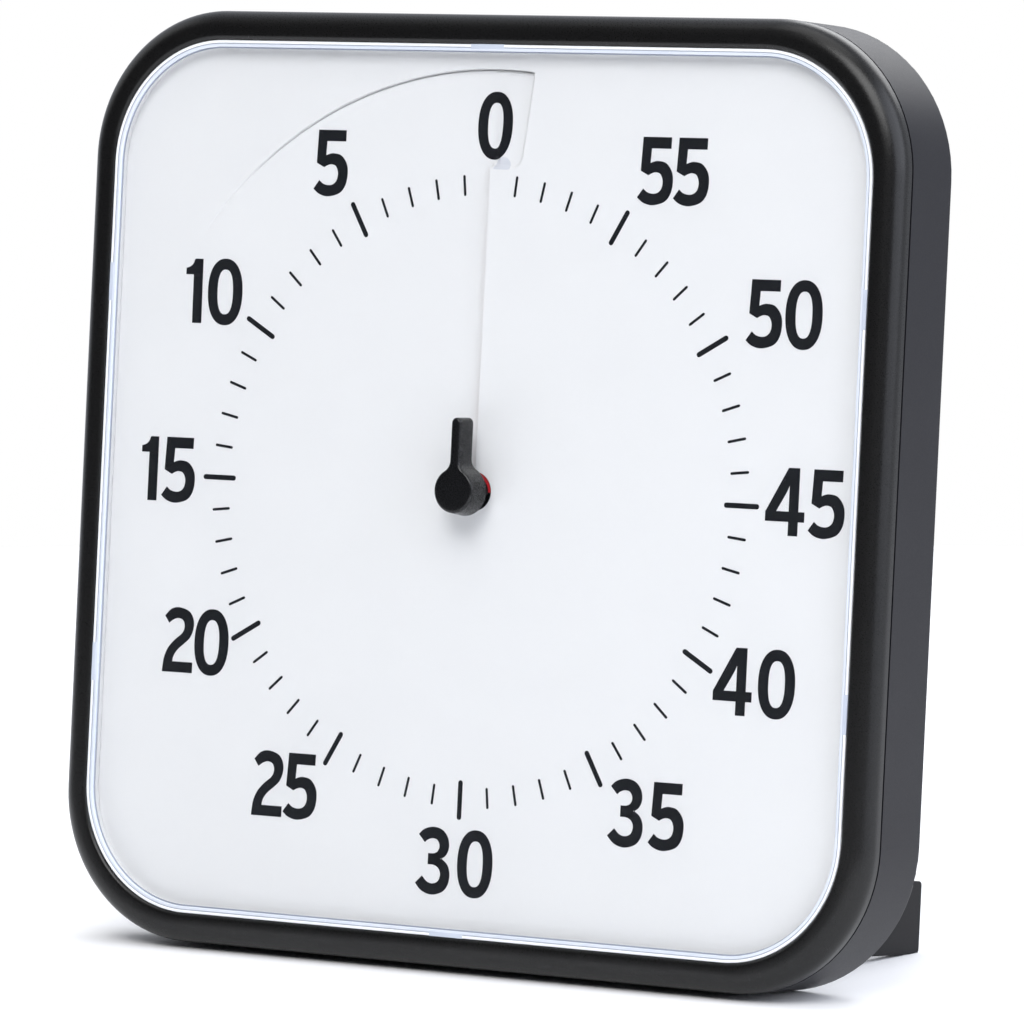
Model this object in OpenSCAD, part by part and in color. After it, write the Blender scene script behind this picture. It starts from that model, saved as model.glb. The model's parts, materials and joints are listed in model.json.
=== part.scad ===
// Visual countdown timer: a square clock-like case that leans back on two folding feet.
//
// Every piece is modelled as if the timer lay on its back: X to the right, Y up the dial and
// Z out towards the viewer, with Z = 0 on the flat face of the dial and the origin on the
// spindle. stand() then leans the whole timer back and sets it on the floor.
//
// The red disc is one turn of a helical leaf. Turning the knob screws it forward by its own
// pitch, so it comes out through the slit of the dial and slides over the face.

/* [Case] */
// Width and height of the square case
case_w = 292; // [280:1:320]
// Outer corner radius of the case
corner_r = 46.5; // [43:0.5:50]
// Case depth from the front of the bezel to the back
case_depth = 33.3; // [32.6:0.1:38]
// Depth of the bezel, from its front to the seam
bezel_depth = 8.4; // [8:0.1:9.5]
// Width of the dark gap at the seam
seam_gap = 0.7; // [0.4:0.1:0.9]
// Radius of the bezel's front outer edge
front_round = 6.2; // [4:0.1:6.4]
// Radius of the rear edge
rear_round = 1.4; // [0.8:0.1:2]
// Side wall of the bezel
bezel_wall = 3.6; // [3.2:0.1:4]
// Side wall of the rear shell
wall = 2.4; // [2:0.1:3]
// Thickness of the back
back_wall = 3; // [2.6:0.1:3.2]
// Visible width of the bezel frame
frame_w = 9.1; // [8.6:0.1:9.6]
// Corner radius of the window in the bezel
opening_r = 39.3; // [37:0.1:40]
// Thickness of the bezel's lip over the lens
lip = 2; // [1.6:0.1:2.4]
// Edge radius of the lip
lip_round = 0.35; // [0.2:0.05:0.6]
// Width of the bezel's outer wall that stops short of the seam
seam_step = 1.2; // [0.8:0.1:1.6]
// Ledge that carries the dial, inside the dial's edge
ledge_w = 3; // [2:0.5:5]
// Height of the ribs inside the back
rib_h = 2.5; // [1:0.1:3]
// Thickness of the ribs
rib_t = 1.2; // [0.8:0.1:2]
// Clearance between parts that only sit together
seat_gap = 0.3; // [0.2:0.05:0.4]
// Clearance between parts that move past each other
move_gap = 0.4; // [0.3:0.05:0.5]

/* [Lens] */
// Thickness of the clear window
lens_t = 1.3; // [1:0.1:1.5]
// How far the lens reaches under the lip
lens_tuck = 3.5; // [2.5:0.1:4]
// Corner radius of the lens
lens_r = 47; // [46.5:0.5:49]
// Width of the clear edge seen inside the bezel
lens_skirt = 1.9; // [1.5:0.1:3]
// Hole for the knob's shaft
lens_hole_r = 4; // [3.5:0.1:5]
// Length of a snap tab
tab_l = 12; // [8:0.5:16]
// Width of a snap tab
tab_w = 0.9; // [0.6:0.1:1.4]
// Height of a snap tab in front of the lens
tab_h = 1.1; // [0.6:0.1:1.4]
// Distance of the side tabs from the middle
tab_y = 60; // [50:1:80]

/* [Dial] */
// Thickness of the dial where the disc sweeps
dial_t = 0.4; // [0.3:0.05:0.5]
// Thickness of the dial's outer part
dial_edge_t = 0.8; // [0.6:0.1:1]
// Drop of the dial at the low side of the slit
slit_drop = 2.1; // [1.8:0.1:2.3]
// Width of the slit
slit_w = 0.5; // [0.4:0.1:1]
// Angle over which the steep part of the ramp fades
steep_a = 55; // [45:1:70]
// Distance of the recess round the numbers from the edge of the window
recess_edge = 7.4; // [6.9:0.1:11]
// Angle of the recess past the slit, on its right side
notch_a = 6.7; // [6:0.1:8]
// Width of the wall round the recess
edge_w = 0.6; // [0.4:0.1:0.8]
// Hole in the middle of the dial
dial_hole_r = 6; // [5.9:0.1:7]

/* [Disc] */
// Radius of the red disc
disc_r = 97.5; // [90:0.5:97.8]
// Thickness of the disc
disc_t = 0.25; // [0.2:0.05:0.3]
// Pitch of the disc, which is how far it comes forward in one turn
disc_pitch = 2.2; // [2:0.05:2.3]
// Clearance of the disc in the slit
disc_gap = 0.25; // [0.2:0.05:0.3]
// Outer radius of the disc's sleeve
sleeve_r = 5.4; // [5.2:0.05:5.6]
// Wall of the disc's sleeve
sleeve_wall = 0.8; // [0.6:0.05:1]

/* [Knob] */
// Height of the knob's back above the lens
knob_lift = 1.85; // [1.5:0.05:3]
// Thickness of the knob
knob_t = 7.45; // [6.5:0.05:9]
// Radius of the knob's head at the back
knob_r = 7.9; // [7:0.1:9]
// Radius of the knob's head at the front
knob_front_r = 6.9; // [6:0.1:7]
// Reach of the pointer above the centre
knob_reach = 22.5; // [18:0.5:28]
// Width of the pointer at the back
pointer_w = 3.6; // [3:0.1:5]
// Width of the pointer at the front
pointer_front_w = 3; // [2.4:0.1:3]
// Edge radius of the knob's front
knob_round = 0.9; // [0.5:0.1:1.1]
// Radius of the neck between head and pointer
neck_r = 4; // [3:0.1:6]

/* [Spindle] */
// Radius of the spindle
spindle_r = 2.5; // [2.2:0.05:2.6]
// Running clearance of shafts and pivots, on the radius
run_gap = 0.05; // [0.03:0.01:0.08]
// Depth of the flat that drives the disc's hub
key_flat = 0.5; // [0.3:0.05:0.8]
// Depth of the spindle in the knob
knob_bore = 5.6; // [4:0.1:6]
// Radius of the collar that carries the clutch
collar_r = 3.6; // [3.2:0.1:3.8]
// Radius of the zero cam
cam_r = 4.4; // [4:0.1:4.6]
// Height of the cam's lobe
cam_lobe = 0.8; // [0.5:0.1:1]

/* [Movement] */
// Tooth module of the train
tooth_module = 0.5; // [0.48:0.01:0.51]
// Teeth of the drive wheel
drive_teeth = 60; // [60]
// Teeth of the third and second wheels
wheel_teeth = 48; // [48]
// Teeth of every pinion
pinion_teeth = 8; // [8]
// Play between teeth, taken off each flank
tooth_play = 0.08; // [0.05:0.01:0.1]
// Radius of the arbors
arbor_r = 0.8; // [0.6:0.05:0.9]
// Radius of the pivots
pivot_r = 0.5; // [0.4:0.05:0.5]
// Direction of the second wheel from the third
second_a = 69; // [68:0.5:71]
// Direction of the rotor from the second wheel
rotor_a = 20; // [18:0.5:22]
// Wall of the movement's housing
mov_wall = 1.5; // [1.2:0.1:1.6]
// Gap between the disc's hub at rest and the movement
mov_gap = 0.7; // [0.5:0.1:1.2]
// Thickness of the movement's cover
cover_t = 1.4; // [1.2:0.1:1.6]
// Depth of the movement from the cover's front to the housing's back
mov_depth = 15.5; // [15.5:0.1:15.8]

/* [Battery] */
// Diameter of an AA cell
cell_d = 14.5; // [14.5]
// Length of an AA cell
cell_l = 50.5; // [50.5]
// Room for the spring and the plate beside the cell
cell_play = 6.5; // [6:0.1:8]
// Wall of the battery bay
bay_wall = 1.6; // [1.4:0.1:2]
// Thickness of the battery door
door_t = 1.8; // [1.6:0.1:2]
// Height of the door
door_h = 20; // [18.5:0.5:21]

/* [Stand] */
// Angle at which the timer leans back
lean = 5.12; // [4.9:0.01:5.4]
// Height of a foot
foot_h = 22.8; // [20:0.1:26]
// Thickness of a foot
foot_t = 4.2; // [3.8:0.1:4.4]
// Height of the feet above the bottom of the case
foot_lift = 7.7; // [7.3:0.1:8]
// Distance of a foot's hinge from the middle
hinge_x = 91; // [90:0.5:96]
// Angle of an open foot from the back of the case
foot_a = 85.5; // [84:0.5:89]
// Corner radius of a foot
foot_round = 1.5; // [1:0.1:2.5]
// Radius of the foot pins
pin_r = 1; // [0.8:0.05:1.2]
// Depth of the level land where case and feet meet the floor
floor_land = 0.35; // [0.3:0.01:0.4]

/* [Fixings] */
// Radius of the case screws
screw_r = 1.3; // [1.2:0.05:1.4]
// Radius of the screw heads
screw_head_r = 2.6; // [2.3:0.1:2.7]
// Radius of the holding magnets
magnet_r = 9; // [8:0.5:11]
// Thickness of the holding magnets
magnet_t = 4; // [3:0.1:4.5]
// Radius of the keyhole's round part
hook_r = 4.5; // [4:0.1:5]
// Half width of the keyhole's slot
hook_slot_r = 2.3; // [2.1:0.1:2.5]
// Travel of the screw in the keyhole's slot
hook_travel = 9; // [7:0.5:12]
// Distance of the keyhole above the spindle
hook_y = 110; // [104:1:116]

/* [Hidden] */
$fn = 64;

black = [0.10, 0.10, 0.11];
slate = [0.24, 0.24, 0.26];
white = [0.93, 0.94, 0.96];
steel = [0.75, 0.76, 0.78];
brass = [0.80, 0.66, 0.35];
natural = [0.90, 0.89, 0.85];

// Depths along Z
half = case_w / 2;
corner_c = half - corner_r;
leaf_front = dial_t + disc_gap;
lens_back = disc_pitch - leaf_front + disc_gap + 0.1;
lens_front = lens_back + lens_t;
face_z = lens_front + lip;
seam_z = face_z - bezel_depth;
rear_z = face_z - case_depth;
floor_z = rear_z + back_wall;
opening = half - frame_w;
lens_half = opening + lens_tuck;
dial_half = lens_half - 0.6;
ledge_half = dial_half - ledge_w;
ledge_r = lens_r - 0.6 - ledge_w;

// Dial ramp
ramp_low = dial_t + disc_t + 2 * disc_gap;
ramp_a = 360 * ramp_low / disc_pitch;
sweep_r = disc_r + 0.8;
recess_r = opening - recess_edge;

// Hub and movement, going back from the dial
hub_front = -dial_t - 0.05;
hub_back = -leaf_front - disc_pitch - disc_t - 1.8;
cover_z = hub_back - mov_gap;
cover_back = cover_z - cover_t;
mov_back = cover_z - mov_depth;
mov_floor = mov_back + 1.6;
mov_left = -32;
mov_right = 29;
mov_low = -30;
mov_high = 37.5;
ear_l = [mov_left - 3, mov_right + 3];
ear_y = [-24, 31];
ear_r = 3.4;
ear_t = 1.5;

// Levels of the train, measured back from the cover's inner face
stator_drop = 3.4;
stator_t = 0.8;
stator_leg = 8;
stator_reach = 18.6;
train_drop = 6.2;
wheel_step = 2;
wheel_t = 0.8;
pinion_t = 1.8;
stator_z = cover_back - stator_drop;
second_wheel_z = cover_back - train_drop;
third_wheel_z = second_wheel_z - wheel_step;
drive_wheel_z = third_wheel_z - wheel_step;
rotor_pinion_z = second_wheel_z - wheel_t;
second_pinion_z = third_wheel_z - wheel_t / 2;
third_pinion_z = drive_wheel_z - wheel_t / 2;
cam_t = 0.9;
cam_z = drive_wheel_z - wheel_t - seat_gap - cam_t;
third_d = tooth_module * (drive_teeth + pinion_teeth) / 2;
mesh_d = tooth_module * (wheel_teeth + pinion_teeth) / 2;
third_at = [-third_d, 0];
second_at = third_at + mesh_d * [cos(second_a), sin(second_a)];
rotor_at = second_at + mesh_d * [cos(rotor_a), sin(rotor_a)];
coil_y = rotor_at[1] + 13.1;
coil_x = rotor_at[0];
coil_l = 24.4;
coil_r = 2.6;

// Board
board_z = cover_back - 4;
board_t = 1.2;
board_head_r = 2;
board_head_t = 1.2;
board_screw_r = 0.95;
board_screw_l = 5;
board_back = board_z - board_t;
board_low = -26.5;
board_high = -17;
board_wing = 11.5;
board_y = [board_low, board_high];
board_end = 62;
buzzer_at = [45, -2];
buzzer_r = 8;
buzzer_back = floor_z + 2.9;
switch_at = [46, -21.5];
switch_t = 4;
slider_travel = 3;
button_t = 0.9;
button_l = 5;
button_h = 6.4;
stem_l = 3.6;
stem_h = 3.8;
board_post = [[board_end - 5, board_low + 5], [board_end - 5, board_wing - 3.5]];

// Battery bay
bay_x = 4.5;
bay_in = cell_d + 0.6;
bay_l = cell_l + cell_play;
bay_y = mov_low - 2.6 - bay_wall - bay_in / 2;
door_z = rear_z + door_t;
cell_z = door_z + 0.3 + cell_d / 2;
bay_top = cell_z + cell_d / 2 + 0.3;
door_l = bay_l + 5;
hinge_line = bay_x - door_l / 2 + door_t / 2;
door_pin_r = 0.6;
door_pin_l = 1;

// Stand
foot_low = -half + foot_lift;
foot_mid = foot_low + foot_h / 2;
pin_z = rear_z + foot_t / 2 + 0.1;
pocket_z = pin_z + foot_t / 2 + 0.4;
pocket_floor = 2;
edge_low = (rear_round - half) * cos(lean) + (rear_z + rear_round) * sin(lean) - rear_round;
lift = -edge_low - floor_land;
foot_corner_y = foot_low + foot_round;
foot_corner_z = (foot_round - floor_land - lift - foot_corner_y * cos(lean)) / sin(lean);
foot_l = (pin_z - foot_corner_z) / sin(foot_a) + foot_round;
foot_tip_y = (foot_low + foot_h) * sin(lean) - (pin_z - foot_l * sin(foot_a)) * cos(lean);
bezel_low_y = -corner_c * sin(lean) - face_z * cos(lean);

// Fixings
screw_c = corner_c + (corner_r - 5.2) / sqrt(2);
boss_r = 2.7;
post_r = 4;
screw_seat_drop = 9;
screw_head_t = 2;
screw_seat = seam_z - screw_seat_drop;
magnet_at = [[105, 92], [-105, 92], [105, -78], [-105, -78]];

// The part's origin lies on the floor under the middle of its footprint
front_y = -half * sin(lean) - (face_z - front_round) * cos(lean) - front_round
          + front_round * (sin(lean));
shift = -(front_y + foot_tip_y) / 2;

module stand() {
  translate([0, shift, lift]) rotate([90 - lean, 0, 0]) children();
}

// Takes away what would reach below the floor
module cut_to_floor() {
  difference() {
    children();
    translate([-case_w, -case_w, -20]) cube([2 * case_w, 2 * case_w, 20]);
  }
}

// A prism between two depths
module slab(low, high) {
  translate([0, 0, low]) linear_extrude(high - low) children();
}

// A square with round corners, given by its half width
module rounded(h, r) {
  square([2 * h, 2 * (h - r)], center = true);
  square([2 * (h - r), 2 * h], center = true);
  for (x = [-1, 1], y = [-1, 1]) translate([x * (h - r), y * (h - r)]) circle(r, $fn = 96);
}

// A frame between two rounded squares
module frame_of(h_out, r_out, h_in, r_in) {
  difference() {
    rounded(h_out, r_out);
    rounded(h_in, r_in);
  }
}

// Carries a profile round the case; its first coordinate counts from the corner's centre line
module round_case(c = corner_c) {
  for (k = [0:3]) rotate([0, 0, 90 * k]) {
    translate([c, c, 0]) rotate([90, 0, 0]) linear_extrude(2 * c) children();
    translate([c, c, 0]) rotate_extrude(angle = 90, $fn = 96) children();
  }
}

// Points of an arc, from one angle to another
function arc(c, r, a0, a1, n = 8) =
  [for (i = [0:n]) c + r * [cos(a0 + (a1 - a0) * i / n), sin(a0 + (a1 - a0) * i / n)]];

// The same arc as a true curve: a square with one corner rounded
module quarter(c, r, sx, sy) {
  translate(c) intersection() {
    circle(r, $fn = 64);
    translate([sx > 0 ? 0 : -r, sy > 0 ? 0 : -r]) square(r);
  }
}

// ---------------------------------------------------------------- case

module bezel_profile() {
  inner = corner_r - 24;
  translate([inner, seam_z - seam_gap / 2])
    square([24 - seam_step, face_z - front_round - seam_z + seam_gap / 2]);
  translate([inner, seam_z + seam_gap / 2])
    square([24, face_z - front_round - seam_z - seam_gap / 2]);
  translate([inner, face_z - front_round - 0.01]) square([24 - front_round, front_round + 0.01]);
  quarter([corner_r - front_round, face_z - front_round], front_round, 1, 1);
}

// What the rounding takes off the lip's front edge, as a profile from the opening's corner centre
module lip_edge() {
  difference() {
    translate([opening_r - 0.1, face_z - lip_round]) square([lip_round + 0.1, lip_round + 0.5]);
    translate([opening_r + lip_round, face_z - lip_round]) circle(lip_round, $fn = 32);
  }
}

// Places a snap tab at each side, the top and the bottom
module at_tabs() {
  for (x = [-1, 1], y = [-tab_y, tab_y]) translate([x * opening, y]) rotate(90) children();
  for (y = [-1, 1]) translate([0, y * opening]) children();
}

module at_corners() {
  for (x = [-1, 1], y = [-1, 1]) translate([x * screw_c, y * screw_c]) children();
}

module front_bezel() {
  color(black) stand() {
    difference() {
      round_case() bezel_profile();
      slab(seam_z - 1, face_z + 1) rounded(opening, opening_r);
      round_case(opening - opening_r) lip_edge();
      slab(seam_z - 1, lens_front) rounded(half - bezel_wall, corner_r - bezel_wall);
      slab(lens_front - 1, lens_front + tab_h + seat_gap) at_tabs()
        square([tab_l + 2 * seat_gap, tab_w + 2 * seat_gap], center = true);
    }
    difference() {
      slab(seam_z + seam_gap / 2, lens_front) at_corners() circle(boss_r);
      slab(seam_z, lens_front - 1) at_corners() circle(screw_r);
    }
  }
}

module shell_profile() {
  inner = corner_r - 24;
  translate([inner, rear_z]) square([24 - rear_round, back_wall]);
  quarter([corner_r - rear_round, rear_z + rear_round], rear_round, 1, -1);
  translate([corner_r - wall, rear_z + rear_round - 0.01])
    square([wall, seam_z - seam_gap / 2 - rear_z - rear_round + 0.01]);
}

// Ribs that stiffen the back, kept clear of the bay, the movement and the foot pockets
module shell_ribs() {
  top = half - wall;
  low = foot_low + foot_h + 3;
  for (x = [-76, 76]) translate([x - rib_t / 2, low]) square([rib_t, top - low]);
  for (y = [62, -66]) translate([-top, y - rib_t / 2]) square([2 * top, rib_t]);
}

// Outline of one foot's pocket in the back
module foot_pocket() {
  reach = foot_l + 0.5;
  edge = hinge_x + foot_t / 2 + move_gap + 0.2;
  translate([hinge_x - reach, foot_low - 0.4]) square([edge - hinge_x + reach, foot_h + 0.8]);
}

module both_sides() {
  children();
  mirror([1, 0, 0]) children();
}

// Screw holes and heads from the back, at the four corners
module shell_screw_holes() {
  slab(rear_z - 1, screw_seat) at_corners() circle(screw_head_r + 0.3);
  slab(rear_z, seam_z + 1) at_corners() circle(screw_r + 0.2);
}

module keyhole() {
  translate([0, hook_y]) circle(hook_r);
  translate([0, hook_y + hook_travel]) circle(hook_slot_r);
  translate([-hook_slot_r, hook_y]) square([2 * hook_slot_r, hook_travel]);
}

// Way for the contacts' legs out of the bay, from a depth and as far as a distance up the dial
module contact_way(low, reach) {
  slab(low, contact_leg_z + 0.2) for (s = [-1, 1])
    translate([bay_x + s * (bay_l / 2 - 0.3) - 0.5, bay_y - 0.5]) square([1, reach + 0.5]);
}

// The bay's walls, rising from the back towards the dial
module battery_bay() {
  difference() {
    slab(rear_z, bay_top + bay_wall) translate([bay_x, bay_y])
      square([bay_l + 2 * bay_wall, bay_in + 2 * bay_wall], center = true);
    slab(rear_z - 1, bay_top) translate([bay_x, bay_y]) square([bay_l, bay_in], center = true);
    contact_way(contact_leg_z - contact_leg_w - 0.2, bay_in / 2 + bay_wall + 2);
    contact_way(cell_z, 4.5);
  }
}

module rear_shell() {
  color(slate) stand() cut_shell_to_floor() difference() {
    union() {
      round_case() shell_profile();
      slab(rear_z, floor_z) rounded(half - 20, corner_r - 20);
      slab(seam_z - 4, seam_z - seam_gap / 2)
        frame_of(half - wall / 2, corner_r - wall / 2, ledge_half, ledge_r);
      slab(seam_z - 4, -dial_edge_t - 0.05) difference() {
        frame_of(half - bezel_wall - seat_gap, corner_r - bezel_wall - seat_gap,
                 ledge_half, ledge_r);
        at_corners() circle(boss_r + seat_gap);
      }
      slab(floor_z - 0.5, floor_z + rib_h) shell_ribs();
      slab(rear_z, seam_z - seam_gap / 2 - 0.1) at_corners() circle(post_r);
      slab(rear_z, pocket_z + pocket_floor) both_sides() translate([0, wall / 2 - half])
        square([hinge_x + foot_t / 2 + 3, half - wall / 2 + foot_low + foot_h + 3.8]);
      slab(rear_z, rear_z + magnet_t + 2) for (p = magnet_at) translate(p) circle(magnet_r + 2);
      slab(floor_z - 0.5, mov_back) for (x = ear_l, y = ear_y) translate([x, y]) circle(ear_r);
      slab(floor_z - 0.5, board_back) for (p = board_post) translate(p) circle(2.6);
      battery_bay();
    }
    slab(rear_z - 1, bay_top) translate([bay_x, bay_y]) square([bay_l, bay_in], center = true);
    slab(rear_z - 1, door_z + seat_gap) translate([bay_x, bay_y])
      square([door_l + 2 * seat_gap, door_h + 2 * seat_gap], center = true);
    translate([hinge_line, bay_y, door_z - door_t / 2]) rotate([90, 0, 0])
      cylinder(r = door_pin_r + run_gap, h = door_h + 2 * (seat_gap + door_pin_l + 0.3), center = true);
    slab(rear_z - 1, pocket_z) both_sides() foot_pocket();
    both_sides() translate([hinge_x, foot_low - 3.2, pin_z]) rotate([-90, 0, 0])
      cylinder(r = pin_r + 0.02, h = foot_h + 6.4);
    translate([0, foot_mid, rear_z - 7]) sphere(11);
    shell_screw_holes();
    slab(rear_z - 1, rear_z + magnet_t + 0.2) for (p = magnet_at) translate(p)
      circle(magnet_r + 0.05);
    slab(rear_z - 1, floor_z + 1) keyhole();
    slab(mov_back - 5, mov_back + 1) for (x = ear_l, y = ear_y) translate([x, y]) circle(1);
    slab(board_back - 8, board_back + 1) for (p = board_post) translate(p) circle(1);
    slab(rear_z - 1, floor_z + 1) translate(buzzer_at) for (k = [-2:2])
      translate([3 * k, 0]) square([1.4, 11 - 1.5 * abs(k)], center = true);
    slab(rear_z - 1, rear_z + 0.1 + button_t + seat_gap) translate(switch_at)
      square([button_l + slider_travel + 4, button_h + 2], center = true);
    slab(rear_z, floor_z + 1) translate(switch_at)
      square([stem_l + slider_travel + 2 * seat_gap, stem_h + 2 * seat_gap], center = true);
  }
}

// The land where the case meets the floor, cut in the timer's own frame
module cut_shell_to_floor() {
  difference() {
    children();
    rotate([lean - 90, 0, 0]) translate([-case_w, -case_w, -20 - lift])
      cube([2 * case_w, 2 * case_w, 20]);
  }
}

module case_screws() {
  color(steel) stand() {
    slab(screw_seat - screw_head_t, screw_seat - 0.05) at_corners() difference() {
      circle(screw_head_r);
      square([1, 3], center = true);
      square([3, 1], center = true);
    }
    slab(screw_seat - 0.05, lens_front - screw_head_t) at_corners() circle(screw_r - run_gap);
  }
}

module holding_magnets() {
  color(steel) stand() slab(rear_z + 0.2, rear_z + magnet_t + 0.2)
    for (p = magnet_at) translate(p) circle(magnet_r);
}

// ---------------------------------------------------------------- window and dial

module clear_lens() {
  color([0.85, 0.92, 0.97, 0.35]) stand() difference() {
    union() {
      slab(lens_back, lens_front) rounded(lens_half, lens_r);
      slab(0.05, lens_back) frame_of(opening + 0.5, opening_r + 0.5,
                                     opening - lens_skirt, opening_r - lens_skirt);
      slab(lens_back, lens_front + tab_h) at_tabs()
        square([tab_l, tab_w], center = true);
    }
    slab(-1, lens_front + 2) circle(lens_hole_r);
  }
}

// Ramp of the dial at an angle counted anticlockwise from the slit: a slow part that the disc
// needs and a steep part near the slit
function ramp(a) =
  a >= ramp_a ? 0 :
  ramp_low * (1 - a / ramp_a) + (slit_drop - ramp_low) * pow(max(0, 1 - a / steep_a), 2);

function clamp01(v) = min(1, max(0, v));
function smooth(v) = v * v * (3 - 2 * v);

// Share of the ramp's drop that is left at a radius: the recess has a crisp edge near the slit
// that widens into a gentle slope
function recess_share(r, a) =
  let (w = edge_w + 30 * clamp01(a / steep_a))
  1 - smooth(clamp01((r - recess_r + w) / w));

// Depth of the dial's front face. The notch right of the slit is as deep as the slit's low side.
// grow widens the notch, for the back face.
function dial_drop(r, a, grow) =
  a < 180 || a < 360 - notch_a - 3
    ? (a >= ramp_a ? 0 : ramp(a) * recess_share(r - grow, a))
    : slit_drop * clamp01((recess_r + grow - r) / edge_w)
      * clamp01((r - sweep_r - edge_w + grow) / edge_w)
      * clamp01((notch_a + (grow - edge_w) / 2 + a - 360) / 0.3);

// Rings and columns of the dial's grid
dial_rings = concat([dial_hole_r - 1.5, disc_r / 2, sweep_r - 0.4, sweep_r, sweep_r + edge_w],
                    [for (k = [1:4]) sweep_r + 1 + k * (recess_r - sweep_r - 4) / 4],
                    [for (k = [-2:2]) recess_r + k * edge_w], [recess_r + 2.6, recess_r + 4]);
slit_half_a = slit_w / 2 / sweep_r * 57.3;
dial_columns = concat([slit_half_a], [for (a = [3:3:steep_a + 5]) a],
                      [for (a = [steep_a + 8:6:351]) a],
                      [for (k = [-6, -2, -1, 0, 1, 2, 8, 16]) 360 - notch_a + 0.15 * k],
                      [360 - notch_a / 2, 360 - slit_half_a]);
slit_end = 4;

function plate_t(r) = r > sweep_r - 0.2 ? dial_edge_t : dial_t;
function sunk(r) = r > recess_r + 1 ? 0.02 : 0;
function rim_tuck(i) = i == len(dial_rings) - 1 ? 0.2 : 0;

module dial_sheet() {
  nr = len(dial_rings);
  nc = len(dial_columns);
  front = [for (i = [0:nr - 1], a = dial_columns) let (r = dial_rings[i])
    [-r * sin(a), r * cos(a), -dial_drop(r, a, 0) - sunk(r) - rim_tuck(i)]];
  back = [for (i = [0:nr - 1], a = dial_columns) let (r = dial_rings[i])
    [-r * sin(a), r * cos(a),
     -dial_drop(r, a, edge_w) - plate_t(r) + sunk(r) + rim_tuck(i)]];
  m = nr * nc;
  cells = [for (i = [0:nr - 2], j = [0:nc - 1]) if (j < nc - 1 || i >= slit_end) [i, j]];
  faces = concat(
    [for (c = cells) let (p = c[0] * nc + c[1], q = c[0] * nc + (c[1] + 1) % nc) each
      [[p, q, q + nc], [p, q + nc, p + nc]]],
    [for (c = cells) let (p = m + c[0] * nc + c[1], q = m + c[0] * nc + (c[1] + 1) % nc) each
      [[p, q + nc, q], [p, p + nc, q + nc]]],
    [for (j = [0:nc - 2]) each [[j, m + j, m + j + 1], [j, m + j + 1, j + 1]]],
    [for (j = [0:nc - 1]) let (p = (nr - 1) * nc + j, q = (nr - 1) * nc + (j + 1) % nc) each
      [[p, q, m + q], [p, m + q, m + p]]],
    [for (i = [0:slit_end - 1]) let (p = i * nc, q = p + nc) each [[p, q, m + q], [p, m + q, m + p]]],
    [for (i = [0:slit_end - 1]) let (p = i * nc + nc - 1, q = p + nc) each
      [[p, m + q, q], [p, m + p, m + q]]],
    [let (p = slit_end * nc, q = p + nc - 1) each [[q, p, m + p], [q, m + p, m + q]]]
  );
  polyhedron(concat(front, back), [for (f = faces) [f[0], f[1], f[2]]], convexity = 8);
}

module dial_plate() {
  color(white) stand() difference() {
    union() {
      slab(-dial_edge_t, 0) difference() {
        rounded(dial_half, lens_r - 0.6);
        circle(recess_r + 1.7, $fn = 180);
      }
      dial_sheet();
    }
    slab(-9, 1) circle(dial_hole_r);
  }
}

// ---------------------------------------------------------------- disc, spindle and knob

// One turn of a helical leaf, with its leading edge just behind the slit
module helical_leaf() {
  n = 90;
  first = -0.6;
  last = -359.4;
  inner = sleeve_r - sleeve_wall / 2;
  points = [for (i = [0:n], c = [[inner, 0], [disc_r, 0], [disc_r, 1], [inner, 1]])
    let (a = first + (last - first) * i / n)
    [-c[0] * sin(a), c[0] * cos(a), -leaf_front + disc_pitch * a / 360 - disc_t * c[1]]];
  sides = [for (i = [0:n - 1], k = [0:3]) let (p = 4 * i, a = p + k, b = p + (k + 1) % 4) each
    [[a, b, b + 4], [a, b + 4, a + 4]]];
  ends = [[0, 2, 1], [0, 3, 2], [4 * n, 4 * n + 1, 4 * n + 2], [4 * n, 4 * n + 2, 4 * n + 3]];
  polyhedron(points, concat(sides, ends), convexity = 6);
}

module countdown_disc() {
  color([0.86, 0.10, 0.13]) stand() {
    helical_leaf();
    slab(hub_back, hub_front - 0.15) difference() {
      circle(sleeve_r);
      circle(sleeve_r - sleeve_wall);
    }
  }
}

// A round bar with one flat
module keyed(r, flat) {
  difference() {
    circle(r);
    translate([-r, r - flat]) square([2 * r, r]);
  }
}

module disc_hub() {
  color(black) stand() difference() {
    slab(hub_back, hub_front - 0.15) circle(sleeve_r - sleeve_wall);
    slab(hub_back - 1, hub_front + 1) keyed(spindle_r + run_gap, key_flat - run_gap);
  }
}

knob_back = lens_front + knob_lift;
knob_front = knob_back + knob_t;

module knob_outline(head, w) {
  cx = w / 2 + neck_r;
  cy = sqrt(pow(head + neck_r, 2) - pow(cx, 2));
  touch = [cx, cy] * head / (head + neck_r);
  circle(head, $fn = 96);
  translate([-w / 2, 0]) square([w, knob_reach - w / 2]);
  difference() {
    polygon([[-touch[0], touch[1]], [touch[0], touch[1]], [cx, cy], [-cx, cy]]);
    for (x = [-1, 1]) translate([x * cx, cy]) circle(neck_r, $fn = 96);
  }
}

// Half section of the head or pointer: drafted side and a round front edge
module drafted(back_r, front_r, height) {
  polygon(concat([[0, 0], [back_r, 0]],
                 arc([front_r - knob_round, height - knob_round], knob_round, 4, 90),
                 [[0, height]]));
}

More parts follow.
